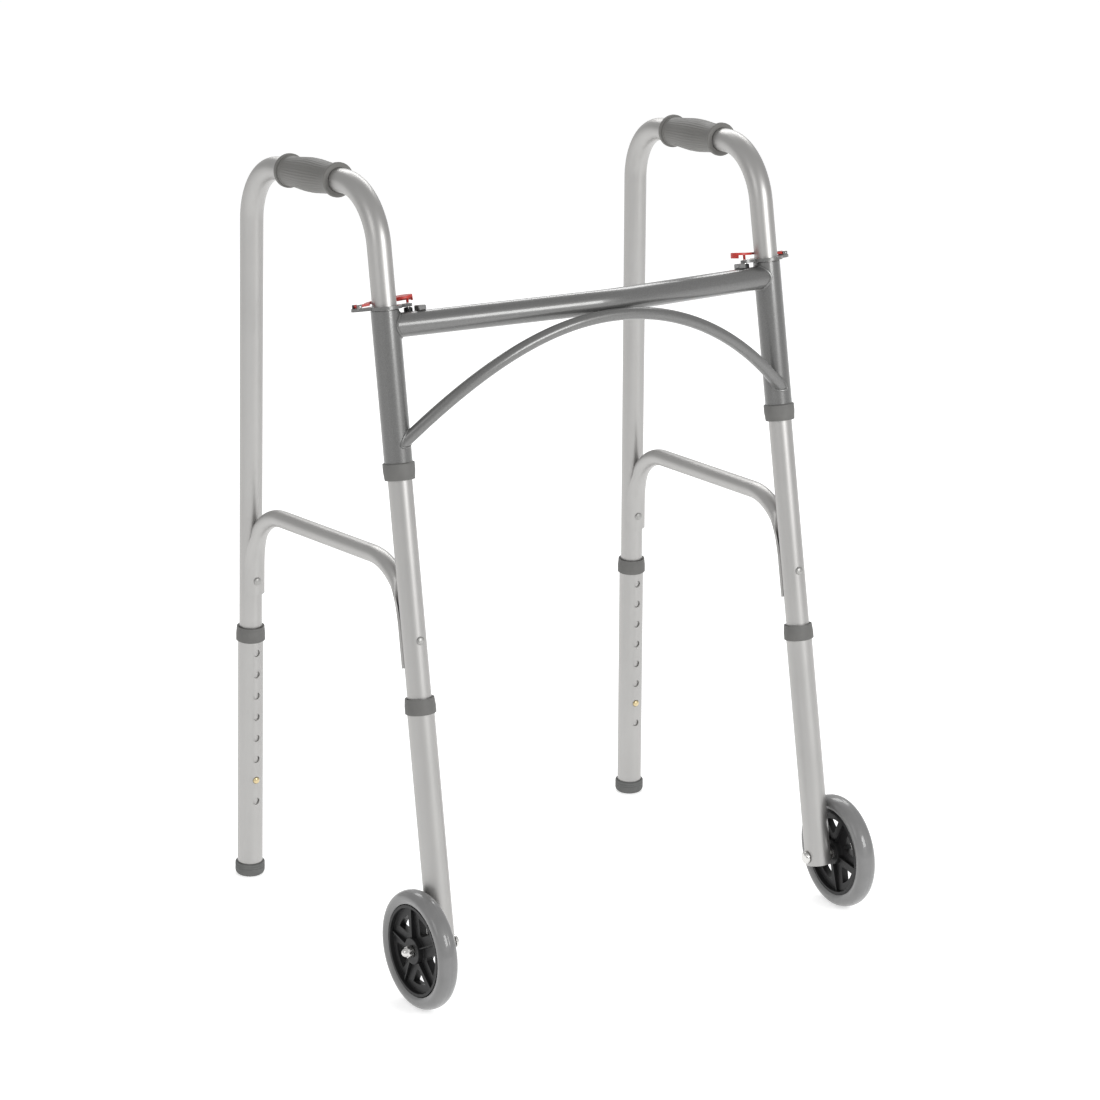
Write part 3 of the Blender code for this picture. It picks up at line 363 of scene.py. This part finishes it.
grip_middle, grip_length = 122.8 * MM, 107 * MM
flange_radius, flange_width, flange_roll = 18.3 * MM, 5 * MM, 1.6 * MM
waist, swell, swell_start = 15.9 * MM, 2.3 * MM, 4.2 * MM
bead_rise, groove_deep = 0.7 * MM, 0.1 * MM
flutes, flute_depth = 36, 0.3 * MM
for side in SIDES:
    along_rail = Matrix.Translation((0, 0, rail_height)) @ Matrix.Rotation(rail_slope - math.pi / 2, 4, "X")
    place = hinge[side] @ along_rail @ Matrix.Translation((0, 0, grip_middle / math.cos(rail_slope)))
    half = grip_length / 2
    inner = half - flange_width
    roll = [(flange_radius - flange_roll * (1 - math.sin(a)), half - flange_roll * (1 - math.cos(a)))
            for a in (math.pi / 2 * i / 5 for i in range(6))]
    flange = roll + [(flange_radius, inner + 1.2 * MM), (flange_radius - 0.5 * MM, inner + 0.3 * MM),
                     (waist + 0.4 * MM, inner), (waist - groove_deep, inner - 1 * MM),
                     (waist + bead_rise, inner - 1.8 * MM), (waist + bead_rise, inner - 2.8 * MM),
                     (waist, inner - 3.6 * MM)]
    body_half = inner - swell_start
    body = [(waist + swell * math.cos(math.pi / 2 * t) ** 2, body_half * t)
            for t in (1 - 2 * i / 28 for i in range(29))]
    bore = tube_radius + leg_gap
    profile = flange + body + [(r, -z) for r, z in flange[::-1]] + [(bore, -half), (bore, half)]
    count, rings = 6 * flutes, []
    for r, z in profile:
        fade = max(0, 1 - (abs(z) / body_half) ** 6) if r > bore and abs(z) < body_half else 0
        turns = [2 * math.pi * i / count for i in range(count)]
        depths = [r - flute_depth * fade * (0.5 - 0.5 * math.cos(flutes * a)) for a in turns]
        rings.append([place @ Vector((d * math.cos(a), d * math.sin(a), z)) for d, a in zip(depths, turns)])
    dress(skin(f"fluted_grip_{side}", rings, looped=True), vinyl, f"grip_{side}")

# ---- Hinge sleeves -------------------------------------------------------------------------------
# The front legs turn in two steel sleeves, the uprights of the front frame. Frame and sleeves are welded
# first and then sprayed a dark metallic grey under a clear gloss coat.
grey_paint, shade = new_finish("metallic_grey_paint", "grey_metallic_paint", (0.13, 0.13, 0.13),
                               {"Coat Roughness": 0.1, "Metallic": 0.5})
in_place = shade.node("TexCoord", {}, {}, "Object")
flake = noise(shade, in_place, 900)
peel = noise(shade, in_place, 260, 1.0)
feed(grey_paint, "Base Color", blend_colours(shade, flake, (0.105, 0.105, 0.103), (0.195, 0.195, 0.192)))
feed(grey_paint, "Roughness", 0.3 + 0.12 * flake)
feed(grey_paint, "Coat Weight", 0.5 + 0.2 * peel)
feed(grey_paint, "Normal", relief(shade, peel, 0.06 * MM, 0.35))

sleeve_radius, sleeve_wall, sleeve_edge = 14.75 * MM, 1.2 * MM, 0.4 * MM
for side in SIDES:
    low, high = (corner.z for corner in span(f"hinge_sleeve_{side}", hinge[side]))
    bore, rim = sleeve_radius - sleeve_wall, high - sleeve_edge
    profile = [(sleeve_radius - sleeve_edge, high), (sleeve_radius, rim), (sleeve_radius, low), (bore, low),
               (bore, rim), (bore + sleeve_edge, high)]
    dress(turned(f"welded_sleeve_{side}", profile, hinge[side], 64), grey_paint, f"hinge_sleeve_{side}")

# ---- Crossbar ------------------------------------------------------------------------------------
# One steel tube joins the sleeves. It is bent once, so its middle stands forward and leaves room to step,
# and its ends are cut to saddle the sleeves and welded all round.
bar_radius, bar_wall, bar_height = 12.7 * MM, 1.5 * MM, 710.6 * MM
bar_bow, bar_bend = 48 * MM, 130 * MM
weld_gap, weld_ripple, bar_weld = 0.1 * MM, 0.14, 1.5 * MM


def saddled(one, way, place, radius):
    """Moves a ring's points back along `way` to the surface of a cylinder about Z of `place`."""
    back, turn = place.inverted(), place.inverted().to_3x3()
    step = turn @ way
    moved = []
    for point in one:
        at = back @ point
        a = step.x ** 2 + step.y ** 2
        b = at.x * step.x + at.y * step.y
        c = at.x ** 2 + at.y ** 2 - radius ** 2
        moved.append(point + way * ((-b + math.sqrt(max(0, b * b - a * c))) / a))
    return moved


def bead(name, seam, middle, thickness, ripple_count):
    """A weld bead along a closed seam, rippled as it was laid."""
    rings = []
    for i, point in enumerate(seam):
        way = (seam[(i + 1) % len(seam)] - seam[i - 1]).normalized()
        across = (point - middle).normalized()
        across = (across - way * across.dot(way)).normalized()
        radius = thickness * (1 + weld_ripple * math.sin(2 * math.pi * ripple_count * i / len(seam)))
        rings.append(ring(point, across, way.cross(across), radius, 10))
    return skin(name, rings, looped=True)


def between_sleeves(name, path, radius, wall, count):
    """A tube with its ends cut to saddle the sleeves, then the direction in and the seam at each end."""
    ways = {"left": (path[1] - path[0]).normalized(), "right": (path[-2] - path[-1]).normalized()}
    skins = []
    for reach in (radius, radius - wall):
        rings = rings_on(path, reach, count)
        rings[0] = saddled(rings[0], ways["left"], hinge["left"], sleeve_radius + weld_gap)
        rings[-1] = saddled(rings[-1], ways["right"], hinge["right"], sleeve_radius + weld_gap)
        skins.append(rings)
    made = skin(name, skins[0] + skins[1][::-1], looped=True)
    return made, ways, {"left": skins[0][0], "right": skins[0][-1]}


def attach(piece, finish, body):
    """An added detail, with no solid of its own, takes a finish and rides with a body."""
    piece.data.materials.append(finish)
    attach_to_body(piece, body)


bar_ends = {side: hinge[side] @ Vector((0, 0, bar_height)) for side in SIDES}
forward = -sum((hinge[side].to_3x3() @ Vector((0, 1, 0)) for side in SIDES), Vector()).normalized()
bar_middle = (bar_ends["left"] + bar_ends["right"]) / 2 + forward * bar_bow
bar_path = bent([bar_ends["left"], bar_middle, bar_ends["right"]], [bar_bend], math.radians(1.5))
crossbar, bar_ways, bar_seams = between_sleeves("bent_crossbar", bar_path, bar_radius, bar_wall, 48)
dress(crossbar, grey_paint, "crossbar")
for side, seam in bar_seams.items():
    seam_middle = bar_ends[side] + bar_ways[side] * sleeve_radius
    attach(bead(f"crossbar_weld_{side}", seam, seam_middle, bar_weld, 22), grey_paint, "front_frame")

# ---- Arch brace ----------------------------------------------------------------------------------
# A thin steel tube springs from the inner fronts of the sleeves and rises to touch under the crossbar.
# Its ends are cut to fit and welded all round, and two small tacks hold its top to the bar.
arch_radius, arch_wall, arch_foot = 6.5 * MM, 1.2 * MM, 598.1 * MM
arch_power, arch_sweep, arch_half_count = 2.06, 2.84, 40
arch_weld, tack_spread, tack_wide, tack_high = 1.3 * MM, 17 * MM, 2 * MM, 1.6 * MM
touch_angle, foot_turn = math.radians(35), math.radians(31.4)
touch = Vector((0, -math.cos(touch_angle), -math.sin(touch_angle)))
apex = bar_path[len(bar_path) // 2] + (bar_radius + arch_radius + leg_gap) * touch
to_foot = sleeve_radius * Vector((math.sin(foot_turn), math.cos(foot_turn), 0))
foot = hinge["right"] @ Vector((0, 0, arch_foot)) - to_foot
arch_path = []
for i in range(2 * arch_half_count + 1):
    share = i / arch_half_count - 1
    drop, back = abs(share) ** arch_power, abs(share) ** arch_sweep
    arch_path.append(Vector((foot.x * share, apex.y + (foot.y - apex.y) * back,
                             apex.z + (foot.z - apex.z) * drop)))
del arch_path[1:3], arch_path[-3:-1]  # these would fall beyond the saddle cuts
arch, _, arch_seams = between_sleeves("welded_arch", arch_path, arch_radius, arch_wall, 32)
dress(arch, grey_paint, "arch_brace")
lump = [(tack_wide * math.sin(a), tack_high * math.cos(a)) for a in (math.pi * i / 12 for i in range(13))]
arch_feet = {"left": arch_path[0], "right": arch_path[-1]}
for side, outward in (("left", -1), ("right", 1)):
    tack_at = apex - touch * arch_radius + Vector((outward * tack_spread, 0, 0))
    weld = bead(f"arch_weld_{side}", arch_seams[side], arch_feet[side], arch_weld, 14)
    tack = turned(f"arch_tack_{side}", lump, axes(tack_at, (0, -1, 0.6), (0, 0, 1)), 20)
    attach(weld, grey_paint, "front_frame")
    attach(tack, grey_paint, "front_frame")

# ---- Collars -------------------------------------------------------------------------------------
# Moulded grey collars close the sleeves' lower ends and the extensions' upper ends. Each has a turned-in
# lip that guides the inner tube, soft corners and a fine spark-eroded texture.
moulding, shade = new_finish("textured_grey_moulding", "grey_plastic", (0.115, 0.118, 0.118), {})
in_place = shade.node("TexCoord", {}, {}, "Object")
texture = noise(shade, in_place, 1400)
flow = noise(shade, in_place, 90)
feed(moulding, "Base Color", blend_colours(shade, flow, (0.105, 0.104, 0.1), (0.14, 0.139, 0.133)))
feed(moulding, "Roughness", 0.52 + 0.14 * texture)
feed(moulding, "Normal", relief(shade, texture, 0.05 * MM, 0.6))


def softened(corners, radius):
    """A closed (radius, height) outline with each corner but the first and last rounded."""
    chain = bent([Vector((r, 0, z)) for r, z in corners], [radius] * (len(corners) - 2), math.radians(18))
    return [(point.x, point.z) for point in chain]


leg_radius, lip = 14.3 * MM, 2.4 * MM
foot_round, lip_round = 1.1 * MM, 0.9 * MM
collars = {"sleeve_collar": (hinge, sleeve_radius, False), "rear_collar": (rear, leg_radius, True),
           "front_collar": (hinge, leg_radius, True)}
for side in SIDES:
    for node, (place, held, lip_above) in collars.items():
        low, high = span(f"{node}_{side}", place[side])
        outer, deep = (high.x - low.x) / 2, high.z - low.z
        bore, throat = held + leg_gap, tube_radius + leg_gap
        foot_half = softened([(outer, deep / 2), (outer, 0), (bore, 0)], foot_round)
        lip_corners = [(throat, deep - lip), (throat, deep), (outer, deep), (outer, deep / 2)]
        profile = foot_half + [(bore, deep - lip)] + softened(lip_corners, lip_round)
        if lip_above:
            at = place[side] @ Matrix.Translation((0, 0, low.z))
        else:
            at = place[side] @ Matrix.Translation((0, 0, high.z)) @ Matrix.Rotation(math.pi, 4, "X")
        dress(turned(f"moulded_{node}_{side}", profile[:-1], at), moulding, f"{node}_{side}")

# ---- Fold locks ----------------------------------------------------------------------------------
# A plate pressed on each side tube turns with it, and a sprung pin in a black housing on the crossbar
# stands in the plate's hole. The red paddle tips on its pivot behind the tube and pushes the pin down.
black_moulding, shade = new_finish("black_nylon", "black_plastic", (0.012, 0.012, 0.012),
                                   {"Specular IOR Level": 0.25})
in_place = shade.node("TexCoord", {}, {}, "Object")
grain = noise(shade, in_place, 900, 3.0)
feed(black_moulding, "Base Color", blend_colours(shade, grain, (0.007, 0.007, 0.007), (0.019, 0.019, 0.02)))
feed(black_moulding, "Roughness", 0.32 + 0.2 * grain)
feed(black_moulding, "Normal", relief(shade, grain, 0.04 * MM, 0.4))

red_moulding, shade = new_finish("red_nylon", "red_plastic", (0.5, 0.03, 0.02), {})
in_place = shade.node("TexCoord", {}, {}, "Object")
swirl = noise(shade, in_place, 160, 3.0)
feed(red_moulding, "Base Color", blend_colours(shade, swirl, (0.4, 0.018, 0.014), (0.6, 0.045, 0.03)))
feed(red_moulding, "Roughness", 0.34 + 0.14 * swirl)
feed(red_moulding, "Normal", relief(shade, swirl, 0.05 * MM, 0.3))


def eased(node, width, finish):
    """A solid's own shape with its sharp edges broken."""
    made = bpy.data.objects.new(f"eased_{node}", frame["nodes"][node].data.copy())
    bpy.context.scene.collection.objects.link(made)
    shape = bmesh.new()
    shape.from_mesh(made.data)
    bmesh.ops.remove_doubles(shape, verts=shape.verts, dist=0.01 * MM)
    bmesh.ops.dissolve_limit(shape, angle_limit=math.radians(1), verts=shape.verts, edges=shape.edges)
    sharp = [edge for edge in shape.edges if edge.is_manifold and edge.calc_face_angle(0) > math.radians(40)]
    bmesh.ops.bevel(shape, geom=sharp, offset=width, segments=3, affect="EDGES", clamp_overlap=True)
    shape.to_mesh(made.data)
    shape.free()
    made.data.shade_smooth()
    made.data.set_sharp_from_angle(angle=math.radians(38))
    dress(made, finish, node)


def coat(node, finish):
    """A solid that is shown as it is, in a finish."""
    frame["nodes"][node].data.materials.clear()
    frame["nodes"][node].data.materials.append(finish)


pin_reach = sleeve_radius + 12.75 * MM
pin_bore, spring_bore, drain = 2.5 * MM, 3.6 * MM, 1 * MM
housing_floor, housing_roof, housing_round = 1.3 * MM, 3.7 * MM, 0.7 * MM
for side in SIDES:
    eased(f"lock_plate_{side}", 0.5 * MM, grey_paint)
    eased(f"release_lever_{side}", 0.45 * MM, red_moulding)
    eased(f"lever_stop_{side}", 0.8 * MM, grey_paint)
    inward = 1 if side == "left" else -1
    pin_axis = hinge[side] @ Matrix.Translation((inward * pin_reach, 0, 0))
    low, high = span(f"pin_housing_{side}", pin_axis)
    outer = (high.x - low.x) / 2
    inside_foot, inside_top = low.z + housing_floor, high.z - housing_roof
    cap_corners = [(outer, low.z), (outer, high.z), (pin_bore, high.z), (pin_bore, inside_top)]
    inside = [(spring_bore, inside_top), (spring_bore, inside_foot), (drain, inside_foot), (drain, low.z)]
    profile = softened(cap_corners, housing_round) + inside
    dress(turned(f"pin_housing_shell_{side}", profile, pin_axis, 40), black_moulding, f"pin_housing_{side}")
    for node in ("lock_pin", "pin_spring", "lever_pivot"):
        coat(f"{node}_{side}", steel)

# ---- Leg extensions ------------------------------------------------------------------------------
# A wider anodised tube slides over each leg end. Eight drilled holes, an inch apart, set the height: the
# rear ones face the wheels and the front ones face the user.
leg_wall, leg_edge, axle_hole = 1.3 * MM, 0.35 * MM, 4.3 * MM
hole_radius, hole_pitch, hole_count, first_hole = 4.2 * MM, 25.4 * MM, 8, 12.1 * MM


def cut(piece, cutters):
    """Takes the cutters out of a piece, then removes them."""
    for cutter in cutters:
        taken = piece.modifiers.new("taken", "BOOLEAN")
        taken.object = cutter
        taken.solver = "EXACT"
    bpy.context.view_layer.update()
    graph = bpy.context.evaluated_depsgraph_get()
    result = bpy.data.meshes.new_from_object(piece.evaluated_get(graph))
    piece.modifiers.clear()
    piece.data = result
    for cutter in cutters:
        bpy.data.objects.remove(cutter)
    piece.data.set_sharp_from_angle(angle=crease)


def rod(name, radius, low, high, place):
    return turned(name, [(0, high), (radius, high), (radius, low), (0, low)], place, 28)


facing = {"rear": facing_front, "front": Matrix.Rotation(-math.pi / 2, 4, "X")}
for side in SIDES:
    for end, place in (("rear", rear[side]), ("front", hinge[side])):
        low, high = (corner.z for corner in span(f"{end}_leg_{side}", place))
        collar_foot = span(f"{end}_collar_{side}", place)[0].z
        bore, rim = leg_radius - leg_wall, low + leg_edge
        profile = [(leg_radius, high), (leg_radius, rim), (leg_radius - leg_edge, low),
                   (bore + leg_edge, low), (bore, rim), (bore, high)]
        leg = turned(f"drilled_{end}_leg_{side}", profile, place, 64)
        heights = [collar_foot - first_hole - i * hole_pitch for i in range(hole_count)]
        spots = [place @ Matrix.Translation((0, 0, z)) @ facing[end] for z in heights]
        drills = [rod("drill", hole_radius, 4 * MM, 22 * MM, spot) for spot in spots]
        if end == "front":
            spin = joints[f"wheel_spin_{side}"]
            across = axes(spin["pos_m"], spin["axis"], (0, 1, 0))
            drills.append(rod("drill", axle_hole, -60 * MM, 10 * MM, across))
        cut(leg, drills)
        dress(leg, anodising, f"{end}_leg_{side}")

# ---- Snap buttons --------------------------------------------------------------------------------
# A domed brass-toned button stands out of one hole in each extension. A bent steel clip inside the tube
# pushes it out, and a thumb pushes it in to change the height.
brass_tone, shade = new_finish("passivated_steel", "bright_steel", (0.62, 0.5, 0.28), {"Metallic": 1.0})
in_place = shade.node("TexCoord", {}, {}, "Object")
rubbed = noise(shade, in_place, 420, 3.0)
feed(brass_tone, "Base Color", blend_colours(shade, rubbed, (0.55, 0.42, 0.2), (0.72, 0.64, 0.44)))
feed(brass_tone, "Roughness", 0.24 + 0.2 * rubbed)

button_radius, button_proud = 3.9 * MM, 2.1 * MM
button_flange, flange_thick, clip_room = 5 * MM, 1.2 * MM, 1.8 * MM
button_hole = 6
for side in SIDES:
    for end, place in (("rear", rear[side]), ("front", hinge[side])):
        collar_foot = span(f"{end}_collar_{side}", place)[0].z
        height = collar_foot - first_hole - button_hole * hole_pitch
        at = place @ Matrix.Translation((0, 0, height)) @ facing[end]
        seat = tube_radius - tube_wall - clip_room
        dome = [(button_radius * math.sin(a), leg_radius + button_proud * math.cos(a))
                for a in (math.pi / 2 * i / 8 for i in range(9))]
        profile = dome + [(button_radius, seat), (button_flange, seat), (button_flange, seat - flange_thick),
                          (0, seat - flange_thick)]
        made = turned(f"domed_{end}_button_{side}", profile, at, 32)
        dress(made, brass_tone, f"{end}_snap_button_{side}")
        coat(f"{end}_snap_clip_{side}", steel)

# ---- Rear tips -----------------------------------------------------------------------------------
# Grey rubber tips are pushed over the rear legs. They are ringed to grip, round at the edge so that they
# ride over thresholds, and flat where they stand.
rubber, shade = new_finish("grey_rubber_compound", "grey_rubber", (0.1, 0.102, 0.102), {})
in_place = shade.node("TexCoord", {}, {}, "Object")
dust = noise(shade, in_place, 140, 4.0)
skinned = noise(shade, in_place, 1100)
feed(rubber, "Base Color", blend_colours(shade, dust, (0.092, 0.094, 0.092), (0.145, 0.147, 0.143)))
feed(rubber, "Roughness", 0.66 + 0.2 * dust)
feed(rubber, "Normal", relief(shade, skinned, 0.05 * MM, 0.6))

tip_radius, tip_floor = 16.8 * MM, 4.5 * MM
shoulder_in, shoulder_up = 4.6 * MM, 5.4 * MM
groove_heights, groove_half, groove_cut = (12.4 * MM, 9.6 * MM), 0.5 * MM, 0.35 * MM
for side in SIDES:
    top = span(f"rear_tip_{side}", rear[side])[1].z
    bore = leg_radius + leg_gap
    turns = [math.pi / 2 * (10 - i) / 10 for i in range(11)]
    shoulder = [(tip_radius - shoulder_in * (1 - math.sin(a)), shoulder_up * (1 - math.cos(a))) for a in turns]
    grooved = []
    for z in groove_heights:
        grooved += [(tip_radius, z + groove_half), (tip_radius - groove_cut, z),
                    (tip_radius, z - groove_half)]
    profile = [(0, tip_floor), (bore, tip_floor), (bore, top), (tip_radius - 1.1 * MM, top),
               (tip_radius - 0.2 * MM, top - 0.9 * MM)] + grooved + shoulder + [(0, 0)]
    tip = turned(f"ringed_tip_{side}", profile, rear[side], 64)
    ground = bpy.data.objects.new("trim", bpy.data.meshes.new("trim"))
    bpy.context.scene.collection.objects.link(ground)
    block = bmesh.new()
    bmesh.ops.create_cube(block, size=1, matrix=Matrix.Translation((0, 0, -0.5)))
    block.to_mesh(ground.data)
    block.free()
    cut(tip, [ground])
    dress(tip, rubber, f"rear_tip_{side}")

# ---- Wheels --------------------------------------------------------------------------------------
# A grey non-marking tyre is moulded on a black nylon centre with five ribbed spokes. A bolt through the
# leg carries it on a steel bush, and a bright domed nut closes the end.
tyre_finish, shade = new_finish("grey_tyre_compound", "grey_tyre", (0.19, 0.19, 0.19),
                                {"Coat Roughness": 0.1})
in_place = shade.node("TexCoord", {}, {}, "Object")
scuff = noise(shade, in_place, 60, 5.0)
fine = noise(shade, in_place, 800)
feed(tyre_finish, "Base Color", blend_colours(shade, scuff, (0.135, 0.135, 0.135), (0.195, 0.195, 0.194)))
feed(tyre_finish, "Roughness", 0.36 + 0.2 * scuff)
feed(tyre_finish, "Coat Weight", 0.8 - 0.3 * scuff)
feed(tyre_finish, "Normal", relief(shade, fine, 0.04 * MM, 0.4))

wheel_radius, tyre_width, tyre_depth = 63.5 * MM, 22 * MM, 14 * MM
bead_half, shoulder_half, shoulder_rise = 8.6 * MM, 9.6 * MM, 1.2 * MM
flank_share, crown_power, parting_deep, parting_half = 0.35, 0.8, 0.25 * MM, 0.2 * MM
hub_width, boss_radius, hub_bore, hub_round = 20 * MM, 14 * MM, 6.3 * MM, 0.6 * MM
web, rim_thick, rim_inset, boss_draft, rim_draft = 4 * MM, 4 * MM, 1 * MM, 0.5 * MM, 0.6 * MM
spokes, spoke_half, window_in, window_out, window_deep = 5, 10.8 * MM, 7 * MM, 8.5 * MM, 12 * MM
rib_half, rib_draft, rib_sink, boss_step, rim_step = 0.9 * MM, 0.7, 0.6 * MM, 1.4 * MM, 2.4 * MM
hexagon, flats_height, thread, bolt_proud = 6.6 * MM, 5 * MM, 4.3 * MM, 6 * MM
nut_dome = ((0, 11), (1.6, 10.8), (2.9, 10), (4.4, 8), (5, 6), (5.7, 5.6))
head_radius, head_edge, head_dome = 7 * MM, 2 * MM, 2.6 * MM
bolt_radius, bolt_bevel = 4 * MM, 0.4 * MM
for side in SIDES:
    spin = joints[f"wheel_spin_{side}"]
    wheel = axes(spin["pos_m"], spin["axis"], hinge[side].to_3x3() @ Vector((0, 1, 0)))
    seat = wheel_radius - tyre_depth
    half, flank = tyre_width / 2, seat + flank_share * tyre_depth
    crown = [(flank + (wheel_radius - flank) * max(0, math.cos(a)) ** crown_power, half * math.sin(a))
             for a in (math.pi / 2 - math.pi * i / 36 for i in range(1, 36))]
    parting = [(r - parting_deep if abs(z) < parting_half else r, z) for r, z in crown]
    profile = [(seat, bead_half), (seat + shoulder_rise, shoulder_half), (flank, half)] + parting
    profile += [(flank, -half), (seat + shoulder_rise, -shoulder_half), (seat, -bead_half)]
    dress(turned(f"moulded_tyre_{side}", profile, wheel, 144), tyre_finish, f"tyre_{side}")

    rim, rim_in = seat - leg_gap, seat - rim_thick
    rim_half, boss_half = hub_width / 2 - rim_inset, hub_width / 2
    outline = [(rim, 0), (rim, -rim_half), (rim_in, -rim_half), (rim_in - rim_draft, -web),
               (boss_radius + boss_draft, -web), (boss_radius, -boss_half), (hub_bore, -boss_half),
               (hub_bore, boss_half), (boss_radius, boss_half), (boss_radius + boss_draft, web),
               (rim_in - rim_draft, web), (rim_in, rim_half), (rim, rim_half), (rim, 0)]
    hub = turned(f"spoked_hub_{side}", softened(outline, hub_round)[:-1], wheel, 120)
    windows = []
    for i in range(spokes):
        heading = 2 * math.pi * (i + 0.5) / spokes
        corners = []
        for reach, way in ((boss_radius + window_in, 1), (rim_in - window_out, -1)):
            spread = way * (math.pi / spokes - math.asin(spoke_half / reach))
            turns = (heading + spread * t for t in (-1, -0.5, 0, 0.5, 1))
            corners += [(reach * math.cos(a), reach * math.sin(a)) for a in turns]
        layers = [[wheel @ Vector((x, y, z)) for x, y in corners] for z in (-window_deep, window_deep)]
        windows.append(skin("window", layers))
    cut(hub, windows)
    dress(hub, black_moulding, f"wheel_hub_{side}")
    rib_ends = ((boss_radius - rib_sink, boss_half - boss_step), (rim_in + rib_sink, rim_half - rim_step))
    for i in range(spokes):
        place = wheel @ Matrix.Rotation(2 * math.pi * i / spokes, 4, "Z")
        for word, face in (("out", 1), ("in", -1)):
            rings = []
            for x, top in rib_ends:
                outline = ((-rib_half, web - rib_sink), (rib_half, web - rib_sink),
                           (rib_half * rib_draft, top), (-rib_half * rib_draft, top))
                rings.append([place @ Vector((x, y, z * face)) for y, z in outline])
            attach(skin(f"hub_rib_{side}_{i}_{word}", rings), black_moulding, f"wheel_{side}")

    nut_low, bolt_end = hub_width / 2 + leg_gap, hub_width / 2 + bolt_proud
    dome = [(r * MM, nut_low + z * MM) for r, z in nut_dome]
    flats = [(hexagon, nut_low + flats_height), (hexagon, nut_low)]
    rings = []
    for r, z in dome + flats + [(thread, nut_low), (thread, bolt_end + leg_gap), (0, bolt_end + leg_gap)]:
        turns = [2 * math.pi * i / 48 for i in range(48)]
        reach = [r if r < hexagon else r * math.cos(math.pi / 6) / math.cos(a % (math.pi / 3) - math.pi / 6)
                 for a in turns]
        rings.append([wheel @ Vector((d * math.cos(a), d * math.sin(a), z)) for d, a in zip(reach, turns)])
    dress(skin(f"domed_nut_{side}", rings), steel, f"axle_nut_{side}")
    low, high = (corner.z for corner in span(f"axle_bolt_{side}", wheel))
    head_face = low + head_edge + head_dome
    head = [(head_radius * math.cos(a), head_face - head_edge - head_dome * math.sin(a))
            for a in (math.pi / 2 * i / 8 for i in range(9))]
    shank = [(0, high), (bolt_radius - bolt_bevel, high), (bolt_radius, high - bolt_bevel),
             (bolt_radius, head_face), (head_radius, head_face)]
    dress(turned(f"axle_bolt_round_head_{side}", shank + head, wheel), steel, f"axle_bolt_{side}")
    for node in ("axle_washer", "wheel_bush"):
        coat(f"{node}_{side}", steel)

# ---- Floor, light and camera ---------------------------------------------------------------------
# A pale floor in an even pale room, a soft key to the right of the camera, a weaker one to its left, and a
# wide one high behind, which lights the tops of the tubes.
floor_finish = bpy.data.materials.new("pale_floor")
floor_finish.use_nodes = True
floor_shader = floor_finish.node_tree.nodes["Principled BSDF"]
floor_shader.inputs["Base Color"].default_value = (0.86, 0.86, 0.86, 1)
floor_shader.inputs["Roughness"].default_value = 0.9
floor_shader.inputs["Emission Color"].default_value = (1, 1, 1, 1)
floor_shader.inputs["Emission Strength"].default_value = 0.5
bpy.ops.mesh.primitive_circle_add(vertices=96, radius=40, fill_type="NGON")
floor = bpy.context.active_object
floor.name = "floor"
floor.data.materials.append(floor_finish)

world = bpy.data.worlds.new("pale_room")
bpy.context.scene.world = world
world.use_nodes = True
world.node_tree.nodes["Background"].inputs["Color"].default_value = (1, 1, 1, 1)
world.node_tree.nodes["Background"].inputs["Strength"].default_value = 0.6

target = Vector((0, 0, 0.45))
lamps = {"key": (11, 21, 2.6, 1.0, 0.9, 27), "side": (-70, 28, 3.0, 1.1, 1.4, 9),
         "back": (149, 40, 3.0, 2.6, 0.9, 32)}
for name, (turn, rise, distance, width, height, power) in lamps.items():
    lamp = bpy.data.objects.new(name, bpy.data.lights.new(name, "AREA"))
    bpy.context.scene.collection.objects.link(lamp)
    lamp.data.shape = "RECTANGLE"
    lamp.data.size, lamp.data.size_y, lamp.data.energy = width, height, power
    turn, rise = math.radians(turn), math.radians(rise)
    way = Vector((math.sin(turn) * math.cos(rise), -math.cos(turn) * math.cos(rise), math.sin(rise)))
    lamp.location = target + way * distance
    lamp.rotation_euler = way.to_track_quat("Z", "Y").to_euler()

camera = bpy.data.objects.new("camera", bpy.data.cameras.new("camera"))
bpy.context.scene.collection.objects.link(camera)
bpy.context.scene.camera = camera
camera.data.sensor_width, camera.data.lens = 36, 110.23
heading, down, roll = math.radians(31.30), math.radians(16.94), math.radians(0.20)
look = Vector((math.sin(heading) * math.cos(down), math.cos(heading) * math.cos(down), -math.sin(down)))
flat_right = Vector((math.cos(heading), -math.sin(heading), 0))
flat_up = flat_right.cross(look)
right = flat_right * math.cos(roll) + flat_up * math.sin(roll)
up = flat_up * math.cos(roll) - flat_right * math.sin(roll)
camera.matrix_world = (Matrix.Translation((-1.8289, -3.0123, 1.4803))
                       @ Matrix((right, up, -look)).transposed().to_4x4())
camera.data.clip_end = 200
bpy.context.scene.view_settings.view_transform = "Standard"
